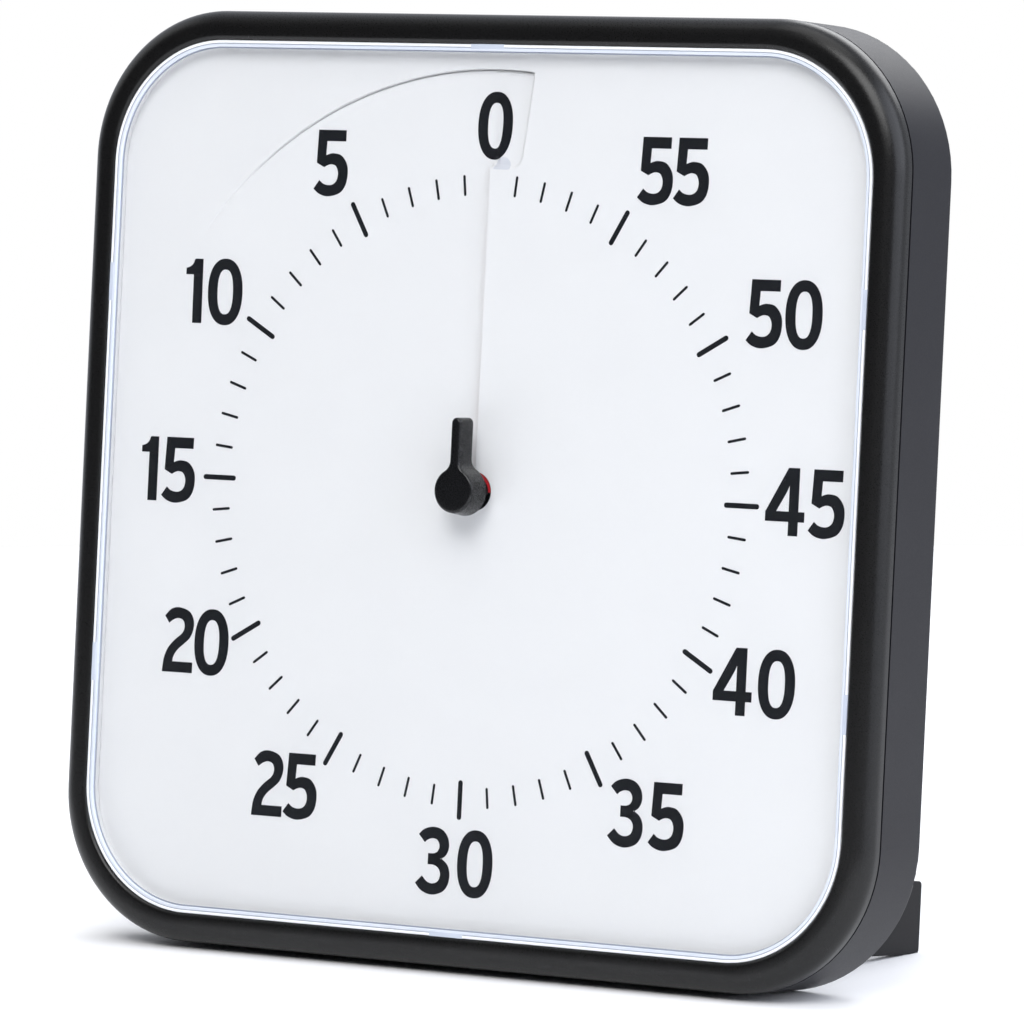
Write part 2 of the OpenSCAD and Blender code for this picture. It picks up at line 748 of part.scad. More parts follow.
module knob() {
  head_cut = knob_bore + 0.2;
  color(black) stand() translate([0, 0, knob_back]) difference() {
    union() {
      rotate_extrude($fn = 96) drafted(knob_r, knob_front_r, knob_t);
      translate([0, knob_reach - pointer_w / 2, 0]) {
        rotate([90, 0, 0]) linear_extrude(knob_reach - pointer_w / 2) union() {
          drafted(pointer_w / 2, pointer_front_w / 2, knob_t);
          mirror([1, 0, 0]) drafted(pointer_w / 2, pointer_front_w / 2, knob_t);
        }
        rotate_extrude($fn = 48) drafted(pointer_w / 2, pointer_front_w / 2, knob_t);
      }
      linear_extrude(knob_t - knob_round) knob_outline(knob_front_r, pointer_front_w);
    }
    translate([0, 0, -1]) cylinder(r = spindle_r, h = head_cut + 1);
  }
}

module spindle() {
  color(steel) stand() {
    slab(hub_back - 0.3, lens_back) keyed(spindle_r, key_flat);
    slab(lens_back, knob_back + knob_bore) circle(spindle_r);
    slab(mov_back + 0.3, hub_back - 0.3) circle(spindle_r);
    slab(third_wheel_z - 0.8, third_wheel_z + 0.2) circle(collar_r);
  }
}

module zero_cam() {
  color(natural) stand() difference() {
    slab(cam_z, cam_z + cam_t) union() {
      circle(cam_r);
      translate([-1, -cam_r - cam_lobe]) square([2, cam_r]);
    }
    slab(cam_z - 1, cam_z + cam_t + 1) circle(spindle_r);
  }
}

// A dished washer between the spindle's collar and the drive wheel
module clutch_spring() {
  color(steel) stand() translate([0, 0, drive_wheel_z + 0.1]) rotate_extrude()
    polygon([[spindle_r + 0.1, 0.5], [spindle_r + 0.1, 0.8], [spindle_r + 0.6, 0.8],
             [collar_r + 0.4, 0.3], [collar_r + 0.4, 0], [collar_r, 0]]);
}

// ---------------------------------------------------------------- gear train

// A toothed outline, with a tooth on +X turned by phase
module toothed(teeth, phase) {
  pitch_r = tooth_module * teeth / 2;
  root_r = pitch_r - 1.2 * tooth_module;
  tip_r = pitch_r + 0.9 * tooth_module;
  step = 360 / teeth;
  half_w = (PI * tooth_module / 4 - tooth_play) / pitch_r * 57.3;
  tip_w = half_w * 0.45;
  root_w = half_w * (teeth < 12 ? 1.15 : 1.5);
  polygon([for (k = [0:teeth - 1], p = [[root_r, -root_w], [pitch_r, -half_w], [tip_r, -tip_w],
                                        [tip_r, tip_w], [pitch_r, half_w], [root_r, root_w]])
    let (a = phase + k * step + p[1]) p[0] * [cos(a), sin(a)]]);
}

// A wheel with four openings
module spoked_wheel(teeth, phase, hub) {
  rim = tooth_module * teeth / 2 - 1.2 * tooth_module - 1.2;
  difference() {
    toothed(teeth, phase);
    difference() {
      circle(rim);
      circle(hub);
      for (k = [0:1]) rotate(45 + 90 * k) square([2 * rim + 1, 1.6], center = true);
    }
  }
}

// Turn of a pinion or wheel that lets it mesh with a neighbour whose tooth turn is known
function mesh_phase(teeth, other_teeth, other_phase, direction) =
  let (to_tooth = (direction - other_phase) / (360 / other_teeth),
       off = (to_tooth - floor(to_tooth)) * 360 / other_teeth)
  direction + 180 + 180 / teeth + off * other_teeth / teeth;

third_pinion_phase = mesh_phase(pinion_teeth, drive_teeth, 0, 180);
second_pinion_phase = mesh_phase(pinion_teeth, wheel_teeth, 0, second_a);
rotor_pinion_phase = mesh_phase(pinion_teeth, wheel_teeth, 0, rotor_a);

// An arbor with a pivot at each end
module arbor() {
  slab(mov_floor + 0.2, cover_back - 0.2) circle(arbor_r, $fn = 32);
  slab(mov_back + 0.5, cover_z - 0.4) circle(pivot_r, $fn = 32);
}

module drive_wheel() {
  color(natural) stand() slab(drive_wheel_z - wheel_t, drive_wheel_z) difference() {
    spoked_wheel(drive_teeth, 0, 6);
    circle(spindle_r + run_gap);
  }
}

module third_wheel() {
  color(natural) stand() translate(third_at) {
    slab(third_wheel_z - wheel_t, third_wheel_z) spoked_wheel(wheel_teeth, 0, 3);
    slab(third_pinion_z + 0.8 - pinion_t, third_wheel_z - wheel_t)
      toothed(pinion_teeth, third_pinion_phase);
    arbor();
  }
}

module second_wheel() {
  color(natural) stand() translate(second_at) {
    slab(second_wheel_z - wheel_t, second_wheel_z) spoked_wheel(wheel_teeth, 0, 3);
    slab(second_pinion_z + 0.8 - pinion_t, second_wheel_z - wheel_t)
      toothed(pinion_teeth, second_pinion_phase);
    arbor();
  }
}

module rotor() {
  color(steel) stand() translate(rotor_at) {
    slab(stator_z - 1.4, stator_z + 0.6) circle(2.9);
    slab(rotor_pinion_z + 1 - pinion_t, stator_z - 1.4)
      toothed(pinion_teeth, rotor_pinion_phase);
    arbor();
  }
}

module stator() {
  cx = coil_x;
  far = coil_l / 2 + 4;
  near = coil_l / 2;
  color(steel) stand() slab(stator_z - stator_t, stator_z) difference() {
    translate([cx, coil_y]) polygon([[-stator_leg, -stator_reach],
      [stator_leg, -stator_reach], [stator_leg, -stator_leg], [far, -4], [far, 3], [-far, 3],
      [-far, -4], [-stator_leg, -stator_leg]]);
    translate([cx, coil_y]) polygon([[-4, -6.5], [4, -6.5], [near, -3.6], [near, -1],
                                     [-near, -1], [-near, -3.6]]);
    translate([cx - near, coil_y + 1]) square([2 * near, 3]);
    translate(rotor_at) circle(3.5);
    for (y = [-1, 1]) translate(rotor_at + [0, 4 * y]) square([0.8, 2], center = true);
  }
}

module coil_bobbin() {
  z = stator_z - stator_t / 2;
  color(natural) stand() translate([coil_x, coil_y, z]) rotate([0, 90, 0]) difference() {
    union() {
      translate([0, 0, 0.3 - coil_l / 2]) cylinder(r = 1.75, h = coil_l - 0.6);
      for (s = [-1, 1]) translate([0, 0, s * (coil_l / 2 - 0.7)])
        cylinder(r = coil_r + 0.2, h = 0.8, center = true);
    }
    cube([stator_t + 0.1, 2.1, coil_l + 2], center = true);
  }
}

module coil_winding() {
  z = stator_z - stator_t / 2;
  color([0.72, 0.36, 0.16]) stand() translate([coil_x, coil_y, z]) rotate([0, 90, 0])
    difference() {
      cylinder(r = coil_r, h = coil_l - 2.4, center = true);
      cylinder(r = 1.8, h = coil_l, center = true);
    }
}

// ---------------------------------------------------------------- movement case

module at_pivots() {
  for (p = [third_at, second_at, rotor_at]) translate(p) children();
}

module movement_outline(inset) {
  translate([mov_left + inset, mov_low + inset])
    square([mov_right - mov_left - 2 * inset, mov_high - mov_low - 2 * inset]);
}

module movement_housing() {
  color(natural) stand() difference() {
    union() {
      slab(mov_back, cover_back) movement_outline(0);
      slab(mov_back, mov_back + ear_t) for (x = ear_l, y = ear_y) {
        translate([x, y]) circle(ear_r);
        translate([x > 0 ? mov_right - 1 : x, y - ear_r])
          square([x > 0 ? x - mov_right + 1 : mov_left - x + 1, 2 * ear_r]);
      }
    }
    slab(mov_floor, cover_back + 1) movement_outline(mov_wall);
    slab(mov_back - 1, mov_floor + 1) circle(spindle_r + run_gap);
    slab(mov_back + 0.4, mov_floor + 1) at_pivots() circle(pivot_r + run_gap, $fn = 32);
    slab(mov_back - 1, mov_floor + 2) for (x = ear_l, y = ear_y) translate([x, y]) circle(1.3);
    slab(board_back - 0.2, board_z + 0.2) translate([mov_right - 4, board_y[0] - 0.3])
      square([6, board_y[1] - board_y[0] + 0.6]);
    slab(contact_leg_z - contact_leg_w - 0.2, contact_leg_z + 0.2)
      translate([bay_x - bay_l / 2 + 0.3, mov_low]) square([1, 4], center = true);
  }
}

module movement_cover() {
  color(natural) stand() difference() {
    slab(cover_back, cover_z) movement_outline(0);
    slab(cover_back - 1, cover_z + 1) circle(spindle_r + run_gap);
    slab(cover_back - 1, cover_z - 0.3) at_pivots() circle(pivot_r + run_gap, $fn = 32);
  }
}

module movement_screws() {
  color(steel) stand() for (x = ear_l, y = ear_y) translate([x, y]) {
    slab(mov_back + ear_t, mov_back + ear_t + 1.3) circle(2.1);
    slab(mov_back - 3.4, mov_back + ear_t) circle(0.95);
  }
}

// ---------------------------------------------------------------- electrics

module main_board() {
  color([0.10, 0.36, 0.20]) stand() slab(board_back, board_z) difference() {
    union() {
      translate([mov_left + mov_wall + 1, board_y[0]])
        square([board_end - mov_left - mov_wall - 1, board_y[1] - board_y[0]]);
      translate([mov_right + 2, board_y[0]]) square([board_end - mov_right - 2, board_wing - board_low]);
    }
    for (p = board_post) translate(p) circle(1.2);
  }
}

module board_screws() {
  color(steel) stand() for (p = board_post) translate(p) {
    slab(board_z, board_z + board_head_t) circle(board_head_r);
    slab(board_back - board_screw_l, board_z) circle(board_screw_r);
  }
}

module quartz_crystal() {
  color(steel) stand() translate([-20, -22, board_z + 1.05]) rotate([0, 90, 0])
    cylinder(r = 1, h = 6);
}

module timer_chip() {
  color(black) stand() slab(board_z, board_z + 1.6) translate([-4, -22])
    square([7, 5], center = true);
}

module buzzer() {
  color(black) stand() translate(buzzer_at) difference() {
    slab(buzzer_back, board_back) circle(buzzer_r);
    slab(buzzer_back - 1, buzzer_back + 4) circle(1.5);
  }
}

module switch_body() {
  color(steel) stand() slab(board_back - switch_t, board_back) translate(switch_at)
    square([11, 6], center = true);
}

module sound_slider() {
  color(black) stand() translate([switch_at[0] - slider_travel / 2, switch_at[1]]) {
    slab(rear_z + 0.1, rear_z + 0.1 + button_t) square([button_l, button_h], center = true);
    slab(rear_z + 0.1, board_back - switch_t - seat_gap) square([stem_l, stem_h], center = true);
    slab(floor_z + seat_gap, floor_z + seat_gap + 0.8)
      square([stem_l + slider_travel + 2, button_h], center = true);
  }
}

// A springy strip that the cam's lobe closes at zero
module zero_contact() {
  mid_z = cam_z + cam_t / 2;
  tip_y = -cam_r - cam_lobe - seat_gap;
  color(brass) stand() translate([1.5, 0, 0]) rotate([0, -90, 0]) linear_extrude(3)
    polygon([[board_back, board_y[1] - 1.5], [mid_z - 0.15, board_y[1] - 1.5],
             [mid_z - 0.15, tip_y], [mid_z + 0.15, tip_y],
             [mid_z + 0.15, board_y[1] - 1.1], [board_back, board_y[1] - 1.1]]);
}

// ---------------------------------------------------------------- battery

contact_t = 0.4;
contact_leg_w = 3;
contact_leg_z = board_back - 0.02;

module battery_cell() {
  color([0.20, 0.42, 0.30]) stand() translate([bay_x + bay_l / 2 - 0.05 - contact_t, bay_y, cell_z])
    rotate([0, -90, 0]) {
      cylinder(r = 2.75, h = 2);
      translate([0, 0, 1.3]) cylinder(r = cell_d / 2, h = cell_l - 1.3);
    }
}

// Plate in the bay's end with a leg up to the board
module contact_plate(side) {
  x = bay_x + side * (bay_l / 2 - 0.05) - (side > 0 ? contact_t : 0);
  translate([x, bay_y - 5, cell_z - 5]) cube([contact_t, 10, 10]);
  translate([x, bay_y, contact_leg_z - contact_leg_w])
    cube([contact_t, board_y[0] + 3 - bay_y, contact_leg_w]);
  translate([x, bay_y, cell_z]) cube([contact_t, 4, contact_leg_z - cell_z]);
}

module battery_plate_contact() {
  color(brass) stand() contact_plate(1);
}

// A conical spring as a wire swept along a helix
module coil_spring(r0, r1, length, turns, wire) {
  n = turns * 16;
  sides = 6;
  points = [for (i = [0:n], k = [0:sides - 1])
    let (a = 360 * turns * i / n, r = r0 + (r1 - r0) * i / n, b = 360 * k / sides)
    [(r + wire * cos(b)) * cos(a), (r + wire * cos(b)) * sin(a),
     wire + (length - 2 * wire) * i / n + wire * sin(b)]];
  faces = [for (i = [0:n - 1], k = [0:sides - 1])
    let (p = i * sides, a = p + k, b = p + (k + 1) % sides) each
    [[a, b, b + sides], [a, b + sides, a + sides]]];
  polyhedron(points, concat(faces, [[for (k = [0:sides - 1]) sides - 1 - k]],
                            [[for (k = [0:sides - 1]) n * sides + k]]), convexity = 6);
}

module battery_spring_contact() {
  reach = cell_play - 2 * contact_t + 0.08;
  color(brass) stand() {
    contact_plate(-1);
    translate([bay_x - bay_l / 2 + contact_t - 0.15, bay_y, cell_z]) rotate([0, 90, 0])
      coil_spring(4.5, 2.6, reach, 3, 0.35);
  }
}

module battery_door() {
  color(slate) stand() difference() {
    union() {
      slab(rear_z, door_z) translate([hinge_line, bay_y - door_h / 2])
        square([bay_x + door_l / 2 - hinge_line, door_h]);
      translate([hinge_line, bay_y, door_z - door_t / 2]) rotate([90, 0, 0]) {
        cylinder(r = door_t / 2, h = door_h, center = true);
        cylinder(r = door_pin_r, h = door_h + 2 * (seat_gap + door_pin_l), center = true);
      }
    }
    for (k = [-1:1]) slab(rear_z - 1, rear_z + 0.5)
      translate([bay_x + door_l / 2 - 6 + 1.8 * k, bay_y]) square([0.8, 9], center = true);
  }
}

// ---------------------------------------------------------------- stand

// A foot lying along +X from its hinge, with round outer corners
module foot_blade() {
  translate([0, 0, -foot_t / 2]) linear_extrude(foot_t) {
    translate([0, foot_low]) square([foot_l - foot_round, foot_h]);
    translate([0, foot_low + foot_round]) square([foot_l, foot_h - 2 * foot_round]);
    for (y = [foot_low + foot_round, foot_low + foot_h - foot_round])
      translate([foot_l - foot_round, y]) circle(foot_round, $fn = 48);
  }
  translate([0, foot_low, 0]) rotate([-90, 0, 0]) cylinder(r = foot_t / 2, h = foot_h);
}

module foot_open() {
  difference() {
    translate([hinge_x, 0, pin_z]) rotate([0, foot_a, 0]) foot_blade();
    translate([hinge_x, foot_low - 1, pin_z]) rotate([-90, 0, 0])
      cylinder(r = pin_r + run_gap, h = foot_h + 2);
  }
}

module right_foot() {
  color(black) stand() cut_shell_to_floor() foot_open();
}

module left_foot() {
  color(black) stand() cut_shell_to_floor() mirror([1, 0, 0]) foot_open();
}

module foot_pins() {
  color(steel) stand() both_sides() translate([hinge_x, foot_low - 3, pin_z]) rotate([-90, 0, 0])
    cylinder(r = pin_r, h = foot_h + 6);
}

front_bezel();
rear_shell();
clear_lens();
dial_plate();
countdown_disc();
disc_hub();
knob();
spindle();
zero_cam();
clutch_spring();
drive_wheel();
third_wheel();
second_wheel();
rotor();
stator();
coil_bobbin();
coil_winding();
movement_housing();
movement_cover();
movement_screws();
main_board();
quartz_crystal();
timer_chip();
buzzer();
switch_body();
sound_slider();
zero_contact();
battery_cell();
battery_spring_contact();
battery_plate_contact();
battery_door();
left_foot();
right_foot();
foot_pins();
holding_magnets();
case_screws();
board_screws();
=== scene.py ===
"""Looks of the visual countdown timer: a square case that leans back on two folding feet.

Shapes are worked out in dial millimetres: X to the right, Y up the dial, Z out of the dial towards
the viewer, with the origin on the spindle. stand() carries them into the frame, in metres.
"""
import json
import math

import bmesh
import bpy
import numpy as np
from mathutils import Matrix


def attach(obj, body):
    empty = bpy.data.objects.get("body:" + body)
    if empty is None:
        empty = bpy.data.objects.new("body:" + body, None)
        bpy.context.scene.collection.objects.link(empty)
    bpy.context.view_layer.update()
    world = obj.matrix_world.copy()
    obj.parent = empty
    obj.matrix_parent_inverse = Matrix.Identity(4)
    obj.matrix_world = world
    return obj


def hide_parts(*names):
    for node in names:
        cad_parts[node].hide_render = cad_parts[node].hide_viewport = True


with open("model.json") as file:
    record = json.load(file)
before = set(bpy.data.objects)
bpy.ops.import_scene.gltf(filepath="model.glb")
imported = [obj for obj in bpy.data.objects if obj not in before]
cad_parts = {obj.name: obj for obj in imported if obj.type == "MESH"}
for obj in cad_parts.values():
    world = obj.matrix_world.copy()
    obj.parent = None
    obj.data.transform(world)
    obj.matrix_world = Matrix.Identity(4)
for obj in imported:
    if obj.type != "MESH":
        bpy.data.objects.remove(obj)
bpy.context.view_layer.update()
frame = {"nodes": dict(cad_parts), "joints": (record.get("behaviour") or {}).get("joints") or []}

MM = 0.001
TAU = 2 * math.pi

# Points of a piece that lie closer than this, in millimetres, are one point
weld = 0.002

joints = {j["name"]: j for j in frame["joints"]}
spindle_at = np.array(joints["knob_turn"]["pos_m"])
dial_out = joints["knob_turn"]["axis"]
lean = math.atan2(dial_out[2], -dial_out[1])

# Case. A corner radius goes with the half width before it.
half = 146.0
corner_r = 46.5
face_z = 5.2
seam_z = -3.2
seam_gap = 0.7
seam_step = 1.2
seam_edge = 0.15
front_round = 6.2
bezel_wall = 3.6
opening = 136.6
opening_r = 39.0
lip_round = 1.6

# Window: a plate, and on it a rib, a step beside it and two hairs. rim_edges holds their walls, as
# distances inside the opening.
lens_back = 1.9
lens_front = 3.2
lens_half = 140.4
lens_r = 47.0
lens_hole_r = 4.0
rim_edges = (0.04, 0.9, 1.12, 2.05, 2.5)
rim_gap = 0.02
rim_back = lens_front + rim_gap
rim_front = 4.5
rim_soft = 0.08
step_low = 0.1
hair_low, hair_t, hair_gap = 0.04, 0.18, 0.01
skirt_in, skirt_out = 1.7, 0.4
skirt_back = 0.05
skirt_bevel = 0.2
tab_l, tab_w, tab_y = 12.0, 1.45, 60.0
tab_in = 1.36
tab_up, tab_proud = 0.3, 0.06
tab_round = 0.2

# Dial. Its angles, in degrees, run anticlockwise from the slit.
dial_half = 139.8
dial_corner_r = 46.4
dial_t = 0.4
dial_edge_t = 0.8
dial_hole_r = 6.0
slit_drop = 2.1
slit_half = 0.25
sweep_r = 98.3
recess_r = 129.5

# The drop left of the slit: two falls along the angle, and a wall and a slope across the radius
steep_a = 55.0
ramp_low = 1.15
ramp_a = 188.18
crisp_a = 54.0
crisp_power = 0.7
wall_w = 0.25
slope_w, slope_more = 2.0, 28.0
channel_w, channel_deep = 0.3, 1.0
channel_fade = 2.2

# The notch right of the slit, from notch_from_a on
notch_from_a = 300.0
notch_a = 6.7
notch_mid_r = 113.0
notch_low = 98.9
notch_low_r = 4.5
notch_top_r = 1.6
notch_in = 0.5
slit_fade = 2.0
edge_w = 1.7
edge_blend = 1.2

# Disc
disc_r = 97.5
disc_t = 0.25
disc_pitch = 2.2
leaf_front = 0.65
leaf_end_a = 0.6
leaf_in = 0.4
sleeve_r = 5.4
sleeve_in = 4.6
sleeve_front = -0.6
sleeve_edge = 0.15
hub_back = -4.9
# Painted shade: a dark half ring in the lower half of the centre hole, where shadow falls
shade_ring_from, shade_ring_to = -92, -268
shade_ring_gap = 0.12
shade_ring_t, shade_ring_clear = 0.12, 0.02

# Knob
knob_back = 5.05
knob_t = 7.45
knob_r, knob_front_r = 7.65, 6.9
pointer_w, pointer_front_w = 3.7, 3.35
knob_reach = 22.5
knob_round = 0.9
knob_foot, knob_foot_in = 0.25, 0.04
neck_r = 4.0
knob_bore_r, knob_bore = 2.5, 5.8

# Print. A mark has its first and last radius and its width.
ink_t = 0.07
ink_proud = 0.05
long_mark = (88.6, 100.8, 1.6)
short_mark = (90.8, 97.3, 0.85)
# Painted shade: a grey arch at the foot of the 0, where the slit's end leaves a shaded hollow
painted_shade_arch_at = (4.2, 98.7)
painted_shade_arch_half_w, painted_shade_arch_tall = 2.9, 3.9
painted_shade_arch_power = 2.6
painted_shade_arch_proud = 0.025

# Finishes: sizes of slow and fine changes, in millimetres
tone_size, rim_tone_size = 22.0, 30.0
rub_size, rim_rub_size = 9.0, 1.5
ripple_size = 30.0
smooth_depth = 0.01

# Studio, in metres and degrees
floor_r = 1.35
floor_inner_r = 0.1
room_front, room_back = 0.05, 0.8
room_low, room_high = -0.35, 0.30
camera_offset = (1.20133, -1.896787, 0.196804)
camera_azimuth = 32.0536
camera_elevation = 5.1705
camera_lens = 258.8


# ------------------------------------------------------------------ shapes

def stand(p):
    """Dial millimetres to frame metres: the dial leans back by lean about X, and moves to the spindle."""
    x, y, z = p[..., 0], p[..., 1], p[..., 2]
    s, c = math.sin(lean), math.cos(lean)
    return np.stack([x, y * s - z * c, y * c + z * s], -1) * MM + spindle_at


def grid_quads(rows, cols, wrap_rows=False, wrap_cols=False):
    """Quads between neighbouring points of a grid, which may close on itself either way."""
    r, c = np.meshgrid(np.arange(rows - 1 + wrap_rows), np.arange(cols - 1 + wrap_cols), indexing="ij")
    r2, c2 = (r + 1) % rows, (c + 1) % cols
    return np.stack([r * cols + c, r * cols + c2, r2 * cols + c2, r2 * cols + c], -1).reshape(-1, 4)


def closed_sheet(top, bottom, quads):
    """A body between two sheets of the same grid: the top, the bottom the other way round, and a wall
    on every edge that only one quad of the top has."""
    n = len(top)
    a = quads.reshape(-1)
    b = np.roll(quads, -1, axis=1).reshape(-1)
    rim = ~np.isin(a * n + b, b * n + a)
    a, b = a[rim], b[rim]
    walls = np.stack([b, a, a + n, b + n], -1)
    return np.concatenate([top, bottom]), np.concatenate([quads, quads[:, ::-1] + n, walls])


def together(parts):
    """Several (points, quads) as one."""
    points, quads, n = [], [], 0
    for p, q in parts:
        points.append(p.reshape(-1, 3))
        quads.append(q + n)
        n += len(points[-1])
    return np.concatenate(points), np.concatenate(quads)


def round_square(h, r, steps):
    """Points round a square with half width h and corner radius r, anticlockwise from the right:
    four quarter circles about (+-(h - r), +-(h - r)). With h = r it is a circle."""
    t = np.linspace(0, math.pi / 2, steps + 1)
    a = (np.arange(4)[:, None] * math.pi / 2 + t).reshape(-1)
    mid = np.repeat(np.arange(4) * math.pi / 2 + math.pi / 4, steps + 1)
    h, r = np.asarray(h)[..., None], np.asarray(r)[..., None]
    x = (h - r) * np.sign(np.cos(mid)) + r * np.cos(a)
    y = (h - r) * np.sign(np.sin(mid)) + r * np.sin(a)
    return x, y


def ring(profile, steps=24):
    """A closed profile of rows (half width, corner radius, depth) carried round the square path."""
    profile = np.asarray(profile, float)
    x, y = round_square(profile[:, 0], profile[:, 1], steps)
    z = np.broadcast_to(profile[:, 2:3], x.shape)
    return np.stack([x, y, z], -1).reshape(-1, 3), grid_quads(*x.shape, True, True)


def arc(centre, radius, start, end, n=10):
    """Points of an arc, angles in degrees."""
    t = np.radians(np.linspace(start, end, n + 1))
    return np.stack([centre[0] + radius * np.cos(t), centre[1] + radius * np.sin(t)], -1)


def around(r, a):
    """x and y at a radius and an angle in degrees, anticlockwise from straight up."""
    return -r * np.sin(np.radians(a)), r * np.cos(np.radians(a))


def rows_at(points, centre):
    """Profile rows (half width, corner radius, depth) of points (half width, depth) whose corners
    all turn about one centre line."""
    return np.stack([points[:, 0], points[:, 0] - centre, points[:, 1]], -1)


def piece(name, shape, material, body, replaced=(), sharp=30):
    """A mesh piece from dial millimetres, welded, facing outwards, smooth up to the sharp angle."""
    points, quads = shape
    mesh = bpy.data.meshes.new(name)
    mesh.from_pydata(stand(points).tolist(), [], quads.tolist())
    work = bmesh.new()
    work.from_mesh(mesh)
    bmesh.ops.remove_doubles(work, verts=work.verts, dist=weld * MM)
    bmesh.ops.recalc_face_normals(work, faces=work.faces)
    work.to_mesh(mesh)
    work.free()
    mesh.polygons.foreach_set("use_smooth", np.ones(len(mesh.polygons), bool))
    mesh.set_sharp_from_angle(angle=math.radians(sharp))
    mesh.materials.append(material)
    obj = bpy.data.objects.new(name, mesh)
    bpy.context.scene.collection.objects.link(obj)
    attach(obj, body)
    if replaced:
        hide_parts(*replaced)


# ------------------------------------------------------------------ finishes

def nodes_of(name):
    """A new material with its Principled shader and the Object coordinates."""
    material = bpy.data.materials.new(name)
    material.use_nodes = True
    tree = material.node_tree
    shader = tree.nodes["Principled BSDF"]
    place = tree.nodes.new("ShaderNodeTexCoord")
    return material, tree, shader, place.outputs["Object"]


def noise(tree, place, size_mm, detail=2.0, rough=0.5):
    """Noise whose largest lumps are about size_mm across, from 0 to 1 and mostly near its middle."""
    n = tree.nodes.new("ShaderNodeTexNoise")
    n.inputs["Scale"].default_value = 1 / (size_mm * MM)
    n.inputs["Detail"].default_value = detail
    n.inputs["Roughness"].default_value = rough
    tree.links.new(place, n.inputs["Vector"])
    return n.outputs["Fac"]


def between(tree, value, low, high):
    """A noise value whose usual span, 0.3 to 0.7, is spread from low to high."""
    m = tree.nodes.new("ShaderNodeMapRange")
    m.inputs["From Min"].default_value = 0.3
    m.inputs["From Max"].default_value = 0.7
    m.inputs["To Min"].default_value = low
    m.inputs["To Max"].default_value = high
    tree.links.new(value, m.inputs["Value"])
    return m.outputs["Result"]


def shade(tree, fac, one, other):
    """A colour between two by a factor."""
    m = tree.nodes.new("ShaderNodeMix")
    m.data_type = "RGBA"
    m.inputs["A"].default_value = (*one, 1)
    m.inputs["B"].default_value = (*other, 1)
    tree.links.new(fac, m.inputs["Factor"])
    return m.outputs["Result"]


def bump(tree, shader, height, depth_mm):
    """Presses a height into the surface."""
    b = tree.nodes.new("ShaderNodeBump")
    b.inputs["Strength"].default_value = 1.0
    b.inputs["Distance"].default_value = depth_mm * MM
    tree.links.new(height, b.inputs["Height"])
    tree.links.new(b.outputs["Normal"], shader.inputs["Normal"])


def moulded(name, colour, other, rough, grain_mm, grain_depth, metallic=0.0, specular=0.5):
    """Moulded plastic or plain metal: a fine grain in the surface, and slow changes of tone and gloss."""
    material, tree, shader, place = nodes_of(name)
    slow = noise(tree, place, tone_size, 3.0)
    tree.links.new(shade(tree, between(tree, slow, 0, 1), colour, other), shader.inputs["Base Color"])
    fine = noise(tree, place, grain_mm, 3.0, 0.6)
    tree.links.new(between(tree, fine, rough[0], rough[1]), shader.inputs["Roughness"])
    bump(tree, shader, fine, grain_depth)
    shader.inputs["Metallic"].default_value = metallic
    shader.inputs["Specular IOR Level"].default_value = specular
    return material


def window_finish():
    """Clear plastic: rays pass straight through, and a mirror share grows towards grazing angles by
    Schlick's curve, 0.035 face on and 0.9 more times the fifth power of facing."""
    material, tree, shader, place = nodes_of("clear_window")
    clear = tree.nodes.new("ShaderNodeBsdfTransparent")
    clear.inputs["Color"].default_value = (0.985, 0.99, 0.995, 1)
    gloss = tree.nodes.new("ShaderNodeBsdfGlossy")
    gloss.inputs["Color"].default_value = (1, 1, 1, 1)
    facing = tree.nodes.new("ShaderNodeLayerWeight")
    facing.inputs["Blend"].default_value = 0.5
    curve = tree.nodes.new("ShaderNodeMath")
    curve.operation = "POWER"
    curve.inputs[1].default_value = 5.0
    share = tree.nodes.new("ShaderNodeMath")
    share.operation = "MULTIPLY_ADD"
    share.inputs[1].default_value = 0.9
    share.inputs[2].default_value = 0.035
    mix = tree.nodes.new("ShaderNodeMixShader")
    rub = noise(tree, place, rub_size, 4.0)
    tree.links.new(between(tree, rub, 0.02, 0.06), gloss.inputs["Roughness"])
    bump(tree, gloss, noise(tree, place, ripple_size), smooth_depth)
    tree.links.new(facing.outputs["Facing"], curve.inputs[0])
    tree.links.new(curve.outputs[0], share.inputs[0])
    tree.links.new(share.outputs[0], mix.inputs[0])
    tree.links.new(clear.outputs[0], mix.inputs[1])
    tree.links.new(gloss.outputs[0], mix.inputs[2])
    tree.links.new(mix.outputs[0], tree.nodes["Material Output"].inputs["Surface"])
    tree.nodes.remove(shader)
    return material


def window_rim_finish(name, colour, other, rough):
    """The window's thick edge, under a clear gloss. Its base colour is painted light, standing in for the
    highlight, shade and bent reflections that the clear edge shows.
    """
    material, tree, shader, place = nodes_of(name)
    slow = noise(tree, place, rim_tone_size, 3.0)
    tree.links.new(shade(tree, between(tree, slow, 0, 1), colour, other), shader.inputs["Base Color"])
    rub = noise(tree, place, rim_rub_size, 3.0)
    tree.links.new(between(tree, rub, rough[0], rough[1]), shader.inputs["Roughness"])
    bump(tree, shader, rub, smooth_depth)
    shader.inputs["Specular IOR Level"].default_value = 0.5
    shader.inputs["Coat Weight"].default_value = 0.4
    shader.inputs["Coat Roughness"].default_value = 0.08
    return material


